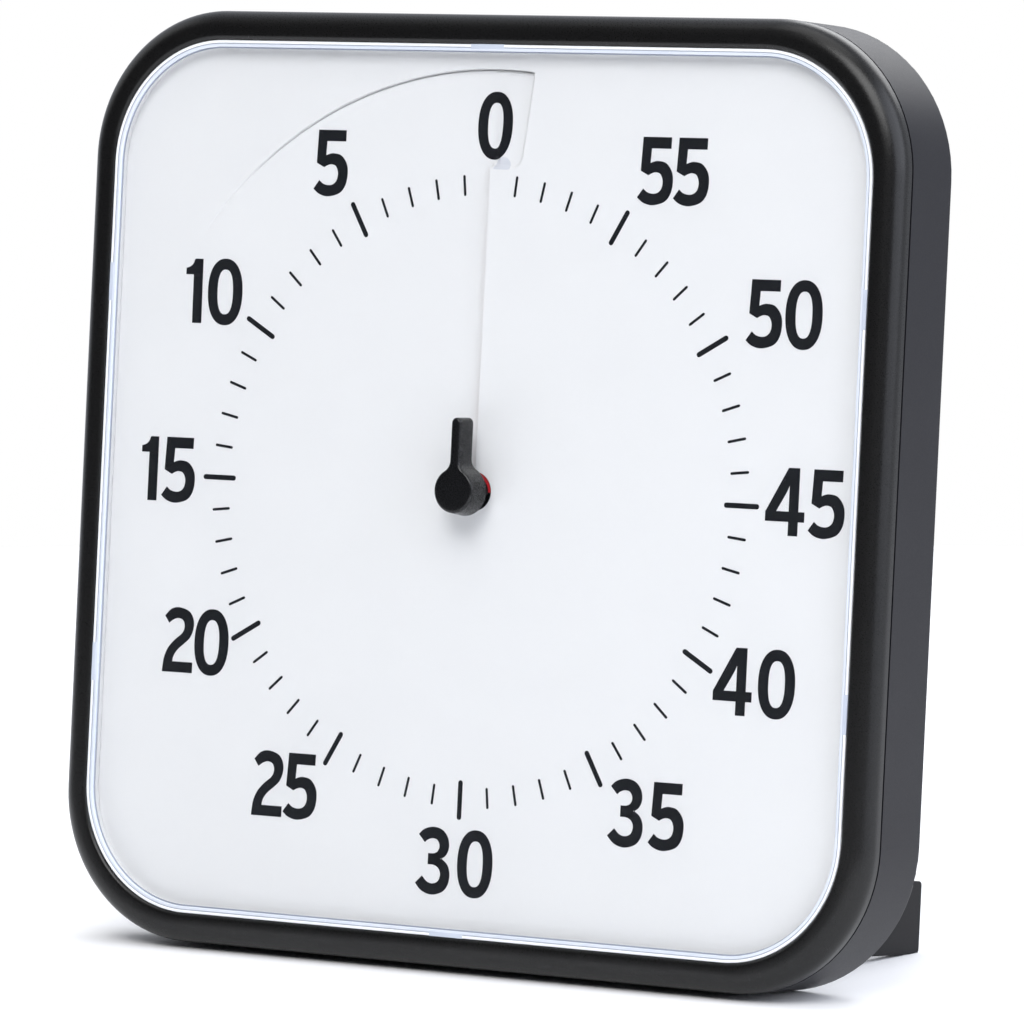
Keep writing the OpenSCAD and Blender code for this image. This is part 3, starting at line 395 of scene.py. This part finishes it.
finishes = {
    "case_black": moulded("satin_black", (0.0040, 0.0039, 0.0040), (0.0049, 0.0048, 0.0049), (0.25, 0.35),
                          0.32, 0.018, specular=0.36),
    "shell_slate": moulded("satin_slate", (0.0086, 0.0085, 0.0112), (0.0102, 0.0101, 0.0130), (0.38, 0.48),
                           0.34, 0.020, specular=0.20),
    "dial_white": moulded("dial_white", (0.868, 0.862, 0.858), (0.856, 0.850, 0.847), (0.42, 0.55),
                          1.2, 0.003),
    "disc_red": moulded("disc_red", (0.62, 0.012, 0.022), (0.57, 0.010, 0.018), (0.38, 0.5), 0.8, 0.004),
    "knob_black": moulded("knob_black", (0.0034, 0.0036, 0.0042), (0.0042, 0.0044, 0.0052), (0.24, 0.30),
                          0.3, 0.003, specular=0.38),
    "bright_steel": moulded("bright_steel", (0.58, 0.585, 0.60), (0.50, 0.505, 0.52), (0.22, 0.38),
                            0.4, 0.004, metallic=1.0),
    "natural_nylon": moulded("natural_nylon", (0.80, 0.78, 0.72), (0.76, 0.74, 0.68), (0.38, 0.5),
                             0.6, 0.006),
    "copper_wire": moulded("copper_wire", (0.72, 0.28, 0.11), (0.60, 0.20, 0.07), (0.25, 0.4),
                           0.3, 0.02, metallic=1.0),
    "board_green": moulded("board_green", (0.015, 0.11, 0.045), (0.012, 0.085, 0.035), (0.28, 0.42),
                           0.7, 0.004),
    "spring_brass": moulded("spring_brass", (0.72, 0.55, 0.28), (0.62, 0.46, 0.22), (0.25, 0.42),
                            0.4, 0.004, metallic=1.0),
    "cell_wrap": moulded("cell_wrap", (0.03, 0.10, 0.06), (0.025, 0.085, 0.05), (0.22, 0.32), 0.6, 0.003),
    "window_clear": window_finish(),
}
ink = moulded("print_black", (0.0046, 0.0054, 0.0078), (0.0055, 0.0063, 0.0090), (0.46, 0.56), 0.7, 0.002,
              specular=0.22)
foot_dark = moulded("foot_dark", (0.0062, 0.0058, 0.0068), (0.0074, 0.0070, 0.0082), (0.36, 0.46),
                    0.34, 0.02, specular=0.16)

for name, node in frame["nodes"].items():
    is_foot = name in ("right_foot", "left_foot")
    for i, held in enumerate(node.data.materials):
        node.data.materials[i] = foot_dark if is_foot else finishes[held.name.split(".")[0]]


# ------------------------------------------------------------------ bezel

def bezel_ring():
    """The frame round the window: outer wall, round front edge, flat front, lip, and the hollow behind."""
    centre = half - corner_r
    inner = opening - opening_r
    seam_low, seam_high = seam_z - seam_gap / 2, seam_z + seam_gap / 2
    outer = np.array([[half - bezel_wall, seam_low], [half - seam_step, seam_low],
                      [half - seam_step, seam_high], [half - seam_edge, seam_high],
                      [half, seam_high + seam_edge]])
    front = arc((half - front_round, face_z - front_round), front_round, 0, 90, 14)
    lip = arc((opening + lip_round, face_z - lip_round), lip_round, 90, 180, 5)
    under = np.array([[opening, lens_front]])
    back = np.array([[half - bezel_wall, lens_front]])
    rows = [rows_at(outer, centre), rows_at(front, centre), rows_at(lip, inner), rows_at(under, inner),
            rows_at(back, centre)]
    return ring(np.concatenate(rows), 32)


piece("bezel_frame", bezel_ring(), finishes["case_black"], "case", ["front_bezel"], 25)


# ------------------------------------------------------------------ window

def tab_block(x0, x1, y0, y1, z0, z1):
    """A small block with its front edges rounded: rows of a rectangle that steps in towards the front."""
    steps = arc((0, 0), tab_round, 0, 90, 4)
    ins = np.concatenate([[0.0], tab_round - steps[:, 0]])
    zs = np.concatenate([[z0], z1 - tab_round + steps[:, 1]])
    x = np.stack([x0 + ins, x1 - ins, x1 - ins, x0 + ins], -1)
    y = np.stack([y0 + ins, y0 + ins, y1 - ins, y1 - ins], -1)
    z = np.broadcast_to(zs[:, None], x.shape)
    points = np.stack([x, y, z], -1).reshape(-1, 3)
    n = len(points)
    caps = np.array([[3, 2, 1, 0], [n - 4, n - 3, n - 2, n - 1]])
    return points, np.concatenate([grid_quads(*x.shape, False, True), caps])


def window_plate():
    """A flat plate with a round hole for the shaft, out to under the bezel's lip."""
    profile = [(lens_hole_r, lens_hole_r, lens_back), (lens_hole_r, lens_hole_r, lens_front),
               (lens_half, lens_r, lens_front), (lens_half, lens_r, lens_back)]
    return ring(profile, 24)


def rim_ring(far, near, high):
    """A narrow wall on the plate, from far to near inside the opening, its front edges bevelled."""
    outer, inner = opening - far, opening - near
    points = np.array([[outer, rim_back], [outer, high - rim_soft], [outer - rim_soft, high],
                       [inner + rim_soft, high], [inner, high - rim_soft], [inner, rim_back]])
    return ring(rows_at(points, opening - opening_r), 32)


def window_rib():
    """A light rib in front of the plate, beside the bezel's lip."""
    return rim_ring(rim_edges[0], rim_edges[1], rim_front)


def window_step():
    """The wider step beside the rib, a little lower."""
    return rim_ring(rim_edges[2], rim_edges[3], rim_front - step_low)


def window_lines():
    """Two darker hairs, painted shade and painted reflection: dark lines for the shade at the edge's steps
    and the bent reflection of the dark bezel. One lies between the rib and its step, one on the plate at the
    step's foot.
    """
    rib, line, wall, foot = rim_edges[1:]
    return together([rim_ring(rib, line, rim_front - hair_low),
                     rim_ring(wall + hair_gap, foot, rim_back + hair_t)])


def window_tabs():
    """Six snap tabs that reach from the rim over the bezel's lip: two up each side, one at the middle
    of the top and one of the bottom."""
    low, high = lens_front + tab_up, rim_front + tab_proud
    parts = []
    for side in (-1, 1):
        ends = sorted((side * (opening - tab_in), side * (opening - tab_in + tab_w)))
        for y in (-tab_y, tab_y):
            parts.append(tab_block(*ends, y - tab_l / 2, y + tab_l / 2, low, high))
        parts.append(tab_block(-tab_l / 2, tab_l / 2, *ends, low, high))
    return together(parts)


def window_skirt():
    """The wall behind the plate, just outside the dial's edge: a square section with two bevels."""
    outer, inner = opening + skirt_out, opening - skirt_in
    points = np.array([[outer, skirt_back], [inner + skirt_bevel, skirt_back],
                       [inner, skirt_back + skirt_bevel], [inner, lens_back - rim_gap],
                       [outer, lens_back - rim_gap]])
    return ring(rows_at(points, opening - opening_r), 32)


# Painted highlight: the rib's white stands in for light caught by the clear edge beside the lip
rim_white = window_rim_finish("rim_white", (0.95, 0.96, 0.98), (0.90, 0.92, 0.96), (0.16, 0.28))
# Painted shade: the step's pale blue-grey is a shaded copy of the rib's white
rim_pale = window_rim_finish("rim_pale", (0.74, 0.78, 0.87), (0.68, 0.73, 0.83), (0.16, 0.28))
# Painted shade and painted reflection: the hairs' dark blue-grey
rim_blue = window_rim_finish("rim_blue", (0.30, 0.33, 0.40), (0.36, 0.39, 0.46), (0.10, 0.22))
# Painted light and shade: the tabs' blue-grey stands in for the light and shade seen in the clear tabs
tab_blue = window_rim_finish("tab_blue", (0.54, 0.59, 0.70), (0.60, 0.65, 0.75), (0.12, 0.24))
piece("window_plate", window_plate(), finishes["window_clear"], "case", ["clear_lens"], 20)
piece("window_rib", window_rib(), rim_white, "case", sharp=50)
piece("window_step", window_step(), rim_pale, "case", sharp=50)
piece("window_lines", window_lines(), rim_blue, "case", sharp=50)
piece("window_tabs", window_tabs(), tab_blue, "case", sharp=50)
piece("window_skirt", window_skirt(), finishes["dial_white"], "case", sharp=50)


# ------------------------------------------------------------------ dial

def smooth(v):
    """Rises from 0 to 1 with level ends: 3 v squared less 2 v cubed, of v held between 0 and 1."""
    v = np.clip(v, 0, 1)
    return v * v * (3 - 2 * v)


def ramp(a):
    """Drop at an angle left of the slit: a straight fall over ramp_a, and a square one over the last
    steep_a degrees."""
    slow = ramp_low * np.clip(1 - a / ramp_a, 0, 1)
    return slow + (slit_drop - ramp_low) * np.clip(1 - a / steep_a, 0, 1) ** 2


def notch(r, a):
    """Share of the drop right of the slit, from the distance inside a region that lies between
    notch_low and the recess radius and ends at a wall notch_a degrees from the slit, where both its
    corners are round. Its edges slope over edge_w, which narrows to wall_w at the recess radius."""
    across = np.radians(a + notch_a - 360) * notch_mid_r
    low, high = r - notch_low, recess_r - r

    def corner(p, q, radius):
        """The lesser of two distances to edges, or the distance to the arc that rounds their corner."""
        u, v = np.maximum(radius - p, 0), np.maximum(radius - q, 0)
        return np.where((u > 0) & (v > 0), radius - np.hypot(u, v), np.minimum(p, q))

    inside = np.minimum(corner(across, low, notch_low_r), corner(across, high, notch_top_r))
    width = edge_w - (edge_w - wall_w) * smooth(1 - (high - wall_w) / edge_blend)
    return smooth(inside / width)


def dial_drop(r, a):
    """Depth of the dial's front face below its flat part, by radius and angle.
    Left of the slit the ramp's drop is shared by a steep wall at the recess radius, whose share falls
    with the angle, and by a slope that widens with it. Right of the slit the notch drops by all of
    slit_drop at the slit, and slit_fade degrees on by half of it at the sweep radius and all of it at the
    recess radius. On both sides a fine channel runs along the foot of the recess radius's wall."""
    crisp = np.clip(1 - a / crisp_a, 0, 1) ** crisp_power
    width = slope_w + slope_more * np.clip(a / steep_a, 0, 1)
    wall = smooth((recess_r - r) / wall_w)
    slope = smooth((recess_r - r) / width)
    left = ramp(a) * (crisp * wall + (1 - crisp) * slope)
    middle = recess_r - wall_w - channel_w / 2
    channel = channel_deep * smooth(2 - 2 * np.abs(r - middle) / channel_w)
    left = left + channel * smooth(channel_fade * (1 - a / crisp_a))
    fall = 0.5 + 0.5 * smooth((r - sweep_r) / (recess_r - sweep_r))
    near = smooth((360 - a) / slit_fade)
    right = slit_drop * notch(r, a) * (1 - near * (1 - fall)) + channel * notch(r - notch_in, a)
    return np.where(a < notch_from_a, left, right)


def dial_depth(x, y):
    """Depth at a place on the dial."""
    return dial_drop(np.hypot(x, y), np.degrees(np.arctan2(-x, y)) % 360)


def edge_reach(a):
    """How far the dial reaches in a direction: to the round square's side, or to its corner circle."""
    u, v = np.abs(np.sin(a)), np.abs(np.cos(a))
    side = dial_half / np.maximum(u, v)
    c = dial_half - dial_corner_r
    along = c * (u + v)
    corner = along + np.sqrt(np.maximum(along ** 2 - 2 * c ** 2 + dial_corner_r ** 2, 0))
    flat = np.minimum(u, v) * side <= c
    return np.where(flat, side, corner)


def dial_face():
    """The dial on a grid of angles and radii, from the centre hole to the round square's edge, closest
    where its drop changes fastest. The first and last angles meet outside the slit only. The radii are
    the flat inside the disc's sweep, the step down from it, the open face, and the recess's wall."""
    slit_a = math.degrees(slit_half / sweep_r)
    a = np.concatenate([[slit_a], np.arange(0.5, 12, 0.5), np.arange(12, 348, 1.0),
                        np.arange(348, 352.2, 0.5), np.arange(352.5, 353.9, 0.05),
                        np.arange(353.9, 358, 0.15), np.arange(358, 359.8, 0.15), [360 - slit_a]])
    inner = np.array([dial_hole_r, 9, 14, 22, 34, 48, 62, 76, 88, 94, 97, sweep_r])
    step = np.arange(sweep_r + 0.6, sweep_r + 8.5, 0.2)
    far = np.arange(107.5, 127.0, 1.0)
    wall = np.concatenate([np.arange(127.4, 128.8, 0.2), np.arange(128.85, recess_r + 0.21, 0.05)])
    r = np.concatenate([inner, step, far, wall, [recess_r + 1.0, recess_r + 2.2]])
    rr, aa = np.meshgrid(r, a, indexing="ij")
    rr = np.concatenate([rr, edge_reach(np.radians(a))[None]])
    aa = np.concatenate([aa, a[None]])
    z = -dial_drop(rr, aa)
    thick = np.where(rr > sweep_r + 0.1, dial_edge_t, dial_t)
    x, y = around(rr, aa)
    rows, cols = rr.shape
    top = np.stack([x, y, z], -1).reshape(-1, 3)
    bottom = np.stack([x, y, z - thick], -1).reshape(-1, 3)
    quads = grid_quads(rows, cols, False, True)
    row, col = quads[:, 0] // cols, quads[:, 0] % cols
    past_slit = row >= np.searchsorted(r, sweep_r + 0.7)
    quads = quads[(col < cols - 1) | past_slit]
    return closed_sheet(top, bottom, quads)


piece("dial_face", dial_face(), finishes["dial_white"], "case", ["dial_plate"], 25)


# ------------------------------------------------------------------ print

def spline(keys, n):
    """n + 1 points along a smooth curve through the keys, evenly spaced: cubic pieces whose slope at a
    key is that of its neighbours' chord. Two keys give a straight line."""
    keys = np.asarray(keys, float)
    ahead = np.concatenate([keys[:1], keys, keys[-1:]])
    slope = (ahead[2:] - ahead[:-2]) / 2
    slope[[0, -1]] *= 2
    t = np.linspace(0, len(keys) - 1, 24 * (len(keys) - 1) + 1)
    k = np.minimum(t.astype(int), len(keys) - 2)
    u = (t - k)[:, None]
    p0, p1, m0, m1 = keys[k], keys[k + 1], slope[k], slope[k + 1]
    line = ((2 * u ** 3 - 3 * u ** 2 + 1) * p0 + (u ** 3 - 2 * u ** 2 + u) * m0
            + (3 * u ** 2 - 2 * u ** 3) * p1 + (u ** 3 - u ** 2) * m1)
    along = np.concatenate([[0], np.cumsum(np.hypot(*np.diff(line, axis=0).T))])
    even = np.linspace(0, along[-1], n + 1)
    return np.stack([np.interp(even, along, line[:, 0]), np.interp(even, along, line[:, 1])], -1)


def spanned(one, other, across=5):
    """The grid between two curves of as many points: straight lines across, evenly divided."""
    v = np.linspace(0, 1, across)[None, :, None]
    return one[:, None] * (1 - v) + other[:, None] * v


def stroke(one, other, n=24, across=5):
    """A band of print between two curves given by their keys."""
    return spanned(spline(one, n), spline(other, n), across)


def oval(half_w, half_h, power, n):
    """A superellipse, anticlockwise from the right."""
    t = np.linspace(0, TAU, n + 1)
    c, s = np.cos(t), np.sin(t)
    return np.stack([half_w * np.sign(c) * np.abs(c) ** (2 / power),
                     half_h * np.sign(s) * np.abs(s) ** (2 / power)], -1)


def digit_strokes():
    """The digits 0 to 5 in a bold narrow face, each as bands in millimetres about its middle. The 0 lies
    between two ovals, and each band of the others between two curves through keys."""
    size = {"0": (12.73, 20.84), "1": (6.25, 20.16), "2": (11.35, 20.42), "3": (12.42, 20.85),
            "4": (13.5, 20.34), "5": (12.37, 20.62)}
    shapes = {}
    middle = np.array([6.36, 10.42])
    shapes["0"] = [spanned(oval(6.38, 10.42, 2.25, 88), oval(2.86, 6.99, 2.45, 88)) + middle]
    shapes["1"] = [
        stroke([(2.84, 0), (2.84, 15.18)], [(6.25, 0), (6.25, 15.18)]),
        stroke([(0.0, 15.18), (2.84, 15.18)], [(0.0, 17.2), (1.4, 17.62), (2.4, 18.42), (2.84, 19.1)], 10),
        stroke([(2.84, 15.18), (2.84, 19.1), (3.35, 20.16)], [(6.25, 15.18), (6.25, 20.16)], 10)]
    shapes["2"] = [
        stroke([(0.0, 0.0), (11.35, 0.0)], [(0.36, 3.35), (11.35, 3.35)], 16),
        stroke([(0.32, 3.35), (0.85, 5.3), (2.1, 7.8), (4.45, 10.3), (6.94, 12.3), (7.8, 14.3), (7.24, 16.3),
                (5.4, 17.02), (3.5, 16.45), (1.95, 15.35)],
               [(3.75, 3.35), (4.25, 5.3), (5.73, 7.3), (8.15, 9.3), (10.14, 11.3), (11.22, 14.4),
                (10.85, 17.3), (9.1, 19.45), (5.5, 20.42), (2.6, 19.82), (0.3, 17.6)], 60)]
    shapes["3"] = [
        stroke([(2.95, 15.9), (3.9, 16.72), (5.7, 17.32), (7.5, 16.85), (8.33, 15.1), (7.7, 13.4),
                (6.2, 12.7), (4.3, 12.67)],
               [(0.62, 18.3), (2.5, 19.95), (5.8, 20.85), (9.2, 20.1), (11.3, 17.8), (11.8, 14.9),
                (10.9, 12.5), (9.3, 11.25)], 44),
        stroke([(4.3, 9.24), (4.3, 12.67)], [(8.9, 9.24), (8.9, 12.67)], 5),
        stroke([(4.3, 9.24), (6.2, 9.22), (7.9, 8.55), (8.85, 7.2), (8.9, 5.7), (8.1, 4.15), (6.2, 3.45),
                (4.2, 3.98), (2.42, 5.6)],
               [(9.3, 11.25), (11.2, 9.8), (12.2, 7.9), (12.4, 5.6), (11.75, 3.1), (9.9, 1.05), (6.2, 0.0),
                (2.5, 0.95), (0.0, 3.25)], 50)]
    shapes["4"] = [
        stroke([(0.15, 7.27), (7.5, 20.34)], [(3.8, 7.27), (8.04, 15.05), (8.04, 20.34)], 26),
        stroke([(8.04, 0), (8.04, 20.34)], [(11.38, 0), (11.38, 20.34)]),
        stroke([(0.03, 4.2), (8.04, 4.2)], [(0.03, 7.27), (8.04, 7.27)], 14),
        stroke([(11.38, 4.2), (13.5, 4.2)], [(11.38, 7.27), (13.5, 7.27)], 5)]
    shapes["5"] = [
        stroke([(1.24, 17.16), (1.38, 20.62)], [(11.33, 17.16), (11.4, 20.62)], 6, 17),
        stroke([(1.24, 17.16), (0.9, 10.35)], [(4.53, 17.16), (4.24, 12.72)], 10),
        stroke([(0.9, 10.35), (3.66, 9.0)], [(4.24, 12.72), (4.23, 12.6)], 6),
        stroke([(3.66, 9.0), (4.9, 9.66), (6.3, 9.98), (7.9, 9.42), (8.78, 7.4), (8.42, 5.1), (7.1, 3.8),
                (5.3, 3.5), (3.4, 3.97), (2.05, 5.0)],
               [(4.24, 12.72), (5.5, 13.2), (7.1, 13.41), (9.8, 12.78), (11.9, 10.2), (12.37, 7.0),
                (11.7, 3.6), (9.7, 1.15), (5.6, 0.0), (2.2, 0.68), (0.0, 2.27)], 60)]
    return {digit: [b - np.array(size[digit]) / 2 for b in bands] for digit, bands in shapes.items()}


def printed(bands, proud=ink_proud):
    """Bands of print laid on the dial: each follows its depth, a little proud of it. A band whose last
    row is its first one loses that row and closes on itself."""
    parts = []
    for band in bands:
        whole = bool(np.allclose(band[0], band[-1]))
        if whole:
            band = band[:-1]
        x, y = band[..., 0].reshape(-1), band[..., 1].reshape(-1)
        z = -dial_depth(x, y)
        top = np.stack([x, y, z + proud], -1)
        bottom = np.stack([x, y, z + proud - ink_t], -1)
        parts.append(closed_sheet(top, bottom, grid_quads(*band.shape[:2], whole)))
    return together(parts)


# Middle of each digit on the dial
number_places = [("0", 0.35, 112.1), ("5", -58.74, 99.23), ("1", -107.41, 58.06), ("0", -95.81, 58.03),
                 ("1", -121.19, 1.73), ("5", -110.23, 1.57), ("2", -107.17, -51.62), ("0", -94.70, -51.78),
                 ("2", -70.96, -94.30), ("5", -58.74, -94.59), ("3", -8.64, -113.94), ("0", 6.54, -113.96),
                 ("3", 59.41, -94.58), ("5", 73.74, -94.77), ("4", 94.56, -52.60), ("0", 109.70, -52.67),
                 ("4", 109.70, 1.98), ("5", 123.97, 1.79), ("5", 99.48, 57.66), ("0", 113.06, 57.79),
                 ("5", 59.24, 99.45), ("5", 71.87, 99.45)]
strokes = digit_strokes()
number_bands = [band + np.array([x, y]) for d, x, y in number_places for band in strokes[d]]
piece("dial_numbers", printed(number_bands), ink, "case", sharp=40)


def mark(a, r0, r1, width):
    """One minute mark: a bar with round ends, from r0 to r1 in the direction a. Its half width is w, and
    nearer to an end than w it is the root of w squared less (w less that distance) squared."""
    w = width / 2
    e = w * (1 - np.cos(np.linspace(0, math.pi / 2, 5)))
    along = np.concatenate([r0 + e, r1 - e[::-1]])
    from_end = np.minimum(along - r0, r1 - along)
    reach = np.sqrt(np.maximum(w ** 2 - np.maximum(w - from_end, 0) ** 2, 1e-6))
    side = reach[:, None] * np.linspace(-1, 1, 3)[None]
    s, c = math.sin(math.radians(a)), math.cos(math.radians(a))
    return np.stack([-along[:, None] * s + side * c, along[:, None] * c + side * s], -1)


marks = [mark(6 * k, *(short_mark if k % 5 else long_mark)) for k in range(1, 60)]
piece("minute_marks", printed(marks), ink, "case", sharp=40)


def painted_shade_arch_sheet():
    """Painted shade: a faint grey arch at the foot of the 0, standing in for the shade in the hollow at the
    slit's outer end. Rows of an upright arch, narrower towards its top, where its half width falls with the
    root of
    1 less a power of the height."""
    x0, y0 = painted_shade_arch_at
    v = np.linspace(0, 1, 25)[:, None]
    side = np.linspace(-1, 1, 17)[None]
    w = painted_shade_arch_half_w * np.sqrt(np.maximum(1 - v ** painted_shade_arch_power, 0.001))
    x, y = np.broadcast_arrays(x0 + w * side, y0 + painted_shade_arch_tall * v)
    return np.stack([x, y], -1)


# Painted shade: a grey a little darker than the dial, for the shade in that hollow
painted_shade_grey = moulded("painted_shade_grey", (0.70, 0.712, 0.755), (0.68, 0.692, 0.735), (0.42, 0.55), 1.2, 0.003)
piece("painted_shade_arch", printed([painted_shade_arch_sheet()], painted_shade_arch_proud), painted_shade_grey, "case", sharp=40)


# ------------------------------------------------------------------ disc

def red_leaf():
    """One turn of a helical leaf, sunk by the pitch over the turn, and the sleeve that carries it."""
    a = np.linspace(-leaf_end_a, leaf_end_a - 360, 241)
    r = np.linspace(sleeve_in + leaf_in, disc_r, 12)
    rr, aa = np.meshgrid(r, a, indexing="ij")
    x, y = around(rr, aa)
    z = -leaf_front + disc_pitch * aa / 360
    top = np.stack([x, y, z], -1).reshape(-1, 3)
    bottom = top - np.array([0, 0, disc_t])
    leaf = closed_sheet(top, bottom, grid_quads(*rr.shape))
    tube = ring([(sleeve_in, sleeve_in, hub_back), (sleeve_r, sleeve_r, hub_back),
                 (sleeve_r, sleeve_r, sleeve_front - sleeve_edge),
                 (sleeve_r - sleeve_edge, sleeve_r - sleeve_edge, sleeve_front),
                 (sleeve_in, sleeve_in, sleeve_front)], 16)
    return together([leaf, tube])


piece("red_leaf", red_leaf(), finishes["disc_red"], "disc", ["countdown_disc"], 30)


def hub_shade_ring():
    """Painted shade: a dark half ring in front of the sleeve, standing in for the shadow in the lower half
    of the centre hole.
    """
    a = np.linspace(shade_ring_from, shade_ring_to, 61)
    r = np.linspace(sleeve_in + shade_ring_clear, dial_hole_r - shade_ring_gap, 5)
    rr, aa = np.meshgrid(r, a, indexing="ij")
    x, y = around(rr, aa)
    back = np.stack([x, y, np.full_like(x, sleeve_front + shade_ring_clear)], -1).reshape(-1, 3)
    return closed_sheet(back + np.array([0, 0, shade_ring_t]), back, grid_quads(*rr.shape))


piece("hub_shade_ring", hub_shade_ring(), finishes["knob_black"], "disc", sharp=30)


# ------------------------------------------------------------------ knob

def lever_outline(head, w, n=20):
    """Right half of the knob's outline from below to the tip, then its mirror: a round head, a hollow
    neck of radius neck_r that touches head and pointer, the pointer's side, and its round tip."""
    cx = w + neck_r
    cy = math.sqrt(max((head + neck_r) ** 2 - cx ** 2, 0))
    touch = math.degrees(math.atan2(cy, cx))
    tip = knob_reach - pointer_w / 2
    right = np.concatenate([arc((0, 0), head, -90, touch, 2 * n),
                            arc((cx, cy), neck_r, 180 + touch, 180, n)[1:],
                            spline([(w, cy), (w, tip)], 8)[1:], arc((0, tip), w, 0, 90, n)[1:]])
    return np.concatenate([right, (right * np.array([-1, 1]))[-2:0:-1]])


def lever_knob():
    """The outline at falling depths: flat front that closes on its middle line, round front edge,
    drafted side, bevelled foot, flat back in to the bore, and the bore's end."""
    head, side = knob_front_r - knob_round, pointer_front_w / 2 - knob_round
    rows = [(lever_outline(head * share, side * share), knob_t) for share in (0.0, 0.35, 0.7)]
    for out, up in arc((0, 0), knob_round, 90, 4, 8):
        rows.append((lever_outline(head + out, side + out), knob_t - knob_round + up))
    for inset, up in ((knob_foot_in, knob_foot), (knob_foot, 0.0)):
        rows.append((lever_outline(knob_r - inset, pointer_w / 2 - inset), up))
    last = rows[-1][0]
    bore = last / np.hypot(last[:, 0], last[:, 1])[:, None] * knob_bore_r
    rows += [(bore, 0.0), (bore, knob_bore), (bore * 0.001, knob_bore)]
    points = np.stack([np.concatenate([p, np.full((len(p), 1), knob_back + z)], 1) for p, z in rows])
    return points.reshape(-1, 3), grid_quads(*points.shape[:2], False, True)


piece("lever_knob", lever_knob(), finishes["knob_black"], "pointer", ["knob"], 35)


# ------------------------------------------------------------------ studio

def floor():
    """A round level sheet under the timer, by radius in metres and angle, closed in its middle."""
    centre_r = 0.001
    a = np.linspace(0, TAU, 97)[:-1]
    r = np.concatenate([[centre_r], np.linspace(floor_inner_r, floor_r, 13)])
    x, y = r[:, None] * np.cos(a), r[:, None] * np.sin(a)
    points = np.stack([x, y, np.zeros_like(x)], -1).reshape(-1, 3)
    mesh = bpy.data.meshes.new("floor")
    mesh.from_pydata(points.tolist(), [], grid_quads(*x.shape, False, True).tolist())
    work = bmesh.new()
    work.from_mesh(mesh)
    bmesh.ops.contextual_create(work, geom=[v for v in work.verts if v.co.length < 2 * centre_r])
    work.to_mesh(mesh)
    work.free()
    mesh.materials.append(moulded("floor_white", (0.95, 0.95, 0.955), (0.94, 0.94, 0.945), (0.9, 0.95),
                                  2.0, 0.002))
    obj = bpy.data.objects.new("floor", mesh)
    bpy.context.scene.collection.objects.link(obj)


def softbox(name, azimuth, elevation, distance, size, power, colour=(1, 1, 1)):
    """A rectangular light that faces the spindle, at an azimuth counted from the front to the right."""
    lamp = bpy.data.lights.new(name, "AREA")
    lamp.shape = "RECTANGLE"
    lamp.size, lamp.size_y = size
    lamp.energy = power
    lamp.color = colour
    obj = bpy.data.objects.new(name, lamp)
    bpy.context.scene.collection.objects.link(obj)
    az, el = math.radians(azimuth), math.radians(elevation)
    way = np.array([math.sin(az) * math.cos(el), -math.cos(az) * math.cos(el), math.sin(el)])
    obj.location = spindle_at + distance * way
    obj.rotation_euler = (math.pi / 2 - el, 0, az)


def studio_world():
    """A room that the camera sees as even white, and whose light comes from behind and fades out
    towards the front."""
    world = bpy.data.worlds.new("studio")
    world.use_nodes = True
    tree = world.node_tree
    light = tree.nodes["Background"]
    light.inputs["Color"].default_value = (0.93, 0.97, 1.06, 1)
    place = tree.nodes.new("ShaderNodeTexCoord")
    split = tree.nodes.new("ShaderNodeSeparateXYZ")
    spread = tree.nodes.new("ShaderNodeMapRange")
    spread.interpolation_type = "SMOOTHSTEP"
    spread.inputs["From Min"].default_value = room_low
    spread.inputs["From Max"].default_value = room_high
    spread.inputs["To Min"].default_value = room_front
    spread.inputs["To Max"].default_value = room_back
    tree.links.new(place.outputs["Generated"], split.inputs[0])
    tree.links.new(split.outputs["Y"], spread.inputs["Value"])
    tree.links.new(spread.outputs["Result"], light.inputs["Strength"])
    seen = tree.nodes.new("ShaderNodeBackground")
    seen.inputs["Color"].default_value = (1, 1, 1, 1)
    seen.inputs["Strength"].default_value = 1.0
    path = tree.nodes.new("ShaderNodeLightPath")
    mix = tree.nodes.new("ShaderNodeMixShader")
    tree.links.new(path.outputs["Is Camera Ray"], mix.inputs[0])
    tree.links.new(light.outputs[0], mix.inputs[1])
    tree.links.new(seen.outputs[0], mix.inputs[2])
    tree.links.new(mix.outputs[0], tree.nodes["World Output"].inputs["Surface"])
    bpy.context.scene.world = world


def camera():
    """Looks at the timer from the right of its front, a little above it."""
    cam = bpy.data.cameras.new("camera")
    cam.lens = camera_lens
    cam.sensor_width = 36
    cam.clip_end = 100
    obj = bpy.data.objects.new("camera", cam)
    bpy.context.scene.collection.objects.link(obj)
    obj.location = spindle_at + np.array(camera_offset)
    obj.rotation_euler = (math.pi / 2 - math.radians(camera_elevation), 0, math.radians(camera_azimuth))
    bpy.context.scene.camera = obj


floor()
softbox("key", 18, 42, 2.6, (1.7, 1.4), 46)
softbox("left", -80, 30, 2.4, (1.2, 1.4), 4)
softbox("right", 86, 28, 2.4, (2.6, 2.3), 50, (0.93, 0.97, 1.08))
softbox("top", -20, 78, 2.4, (1.6, 1.6), 15)
softbox("back", 180, 40, 2.4, (2.0, 1.4), 26)
studio_world()
camera()
bpy.context.scene.view_settings.view_transform = "Standard"
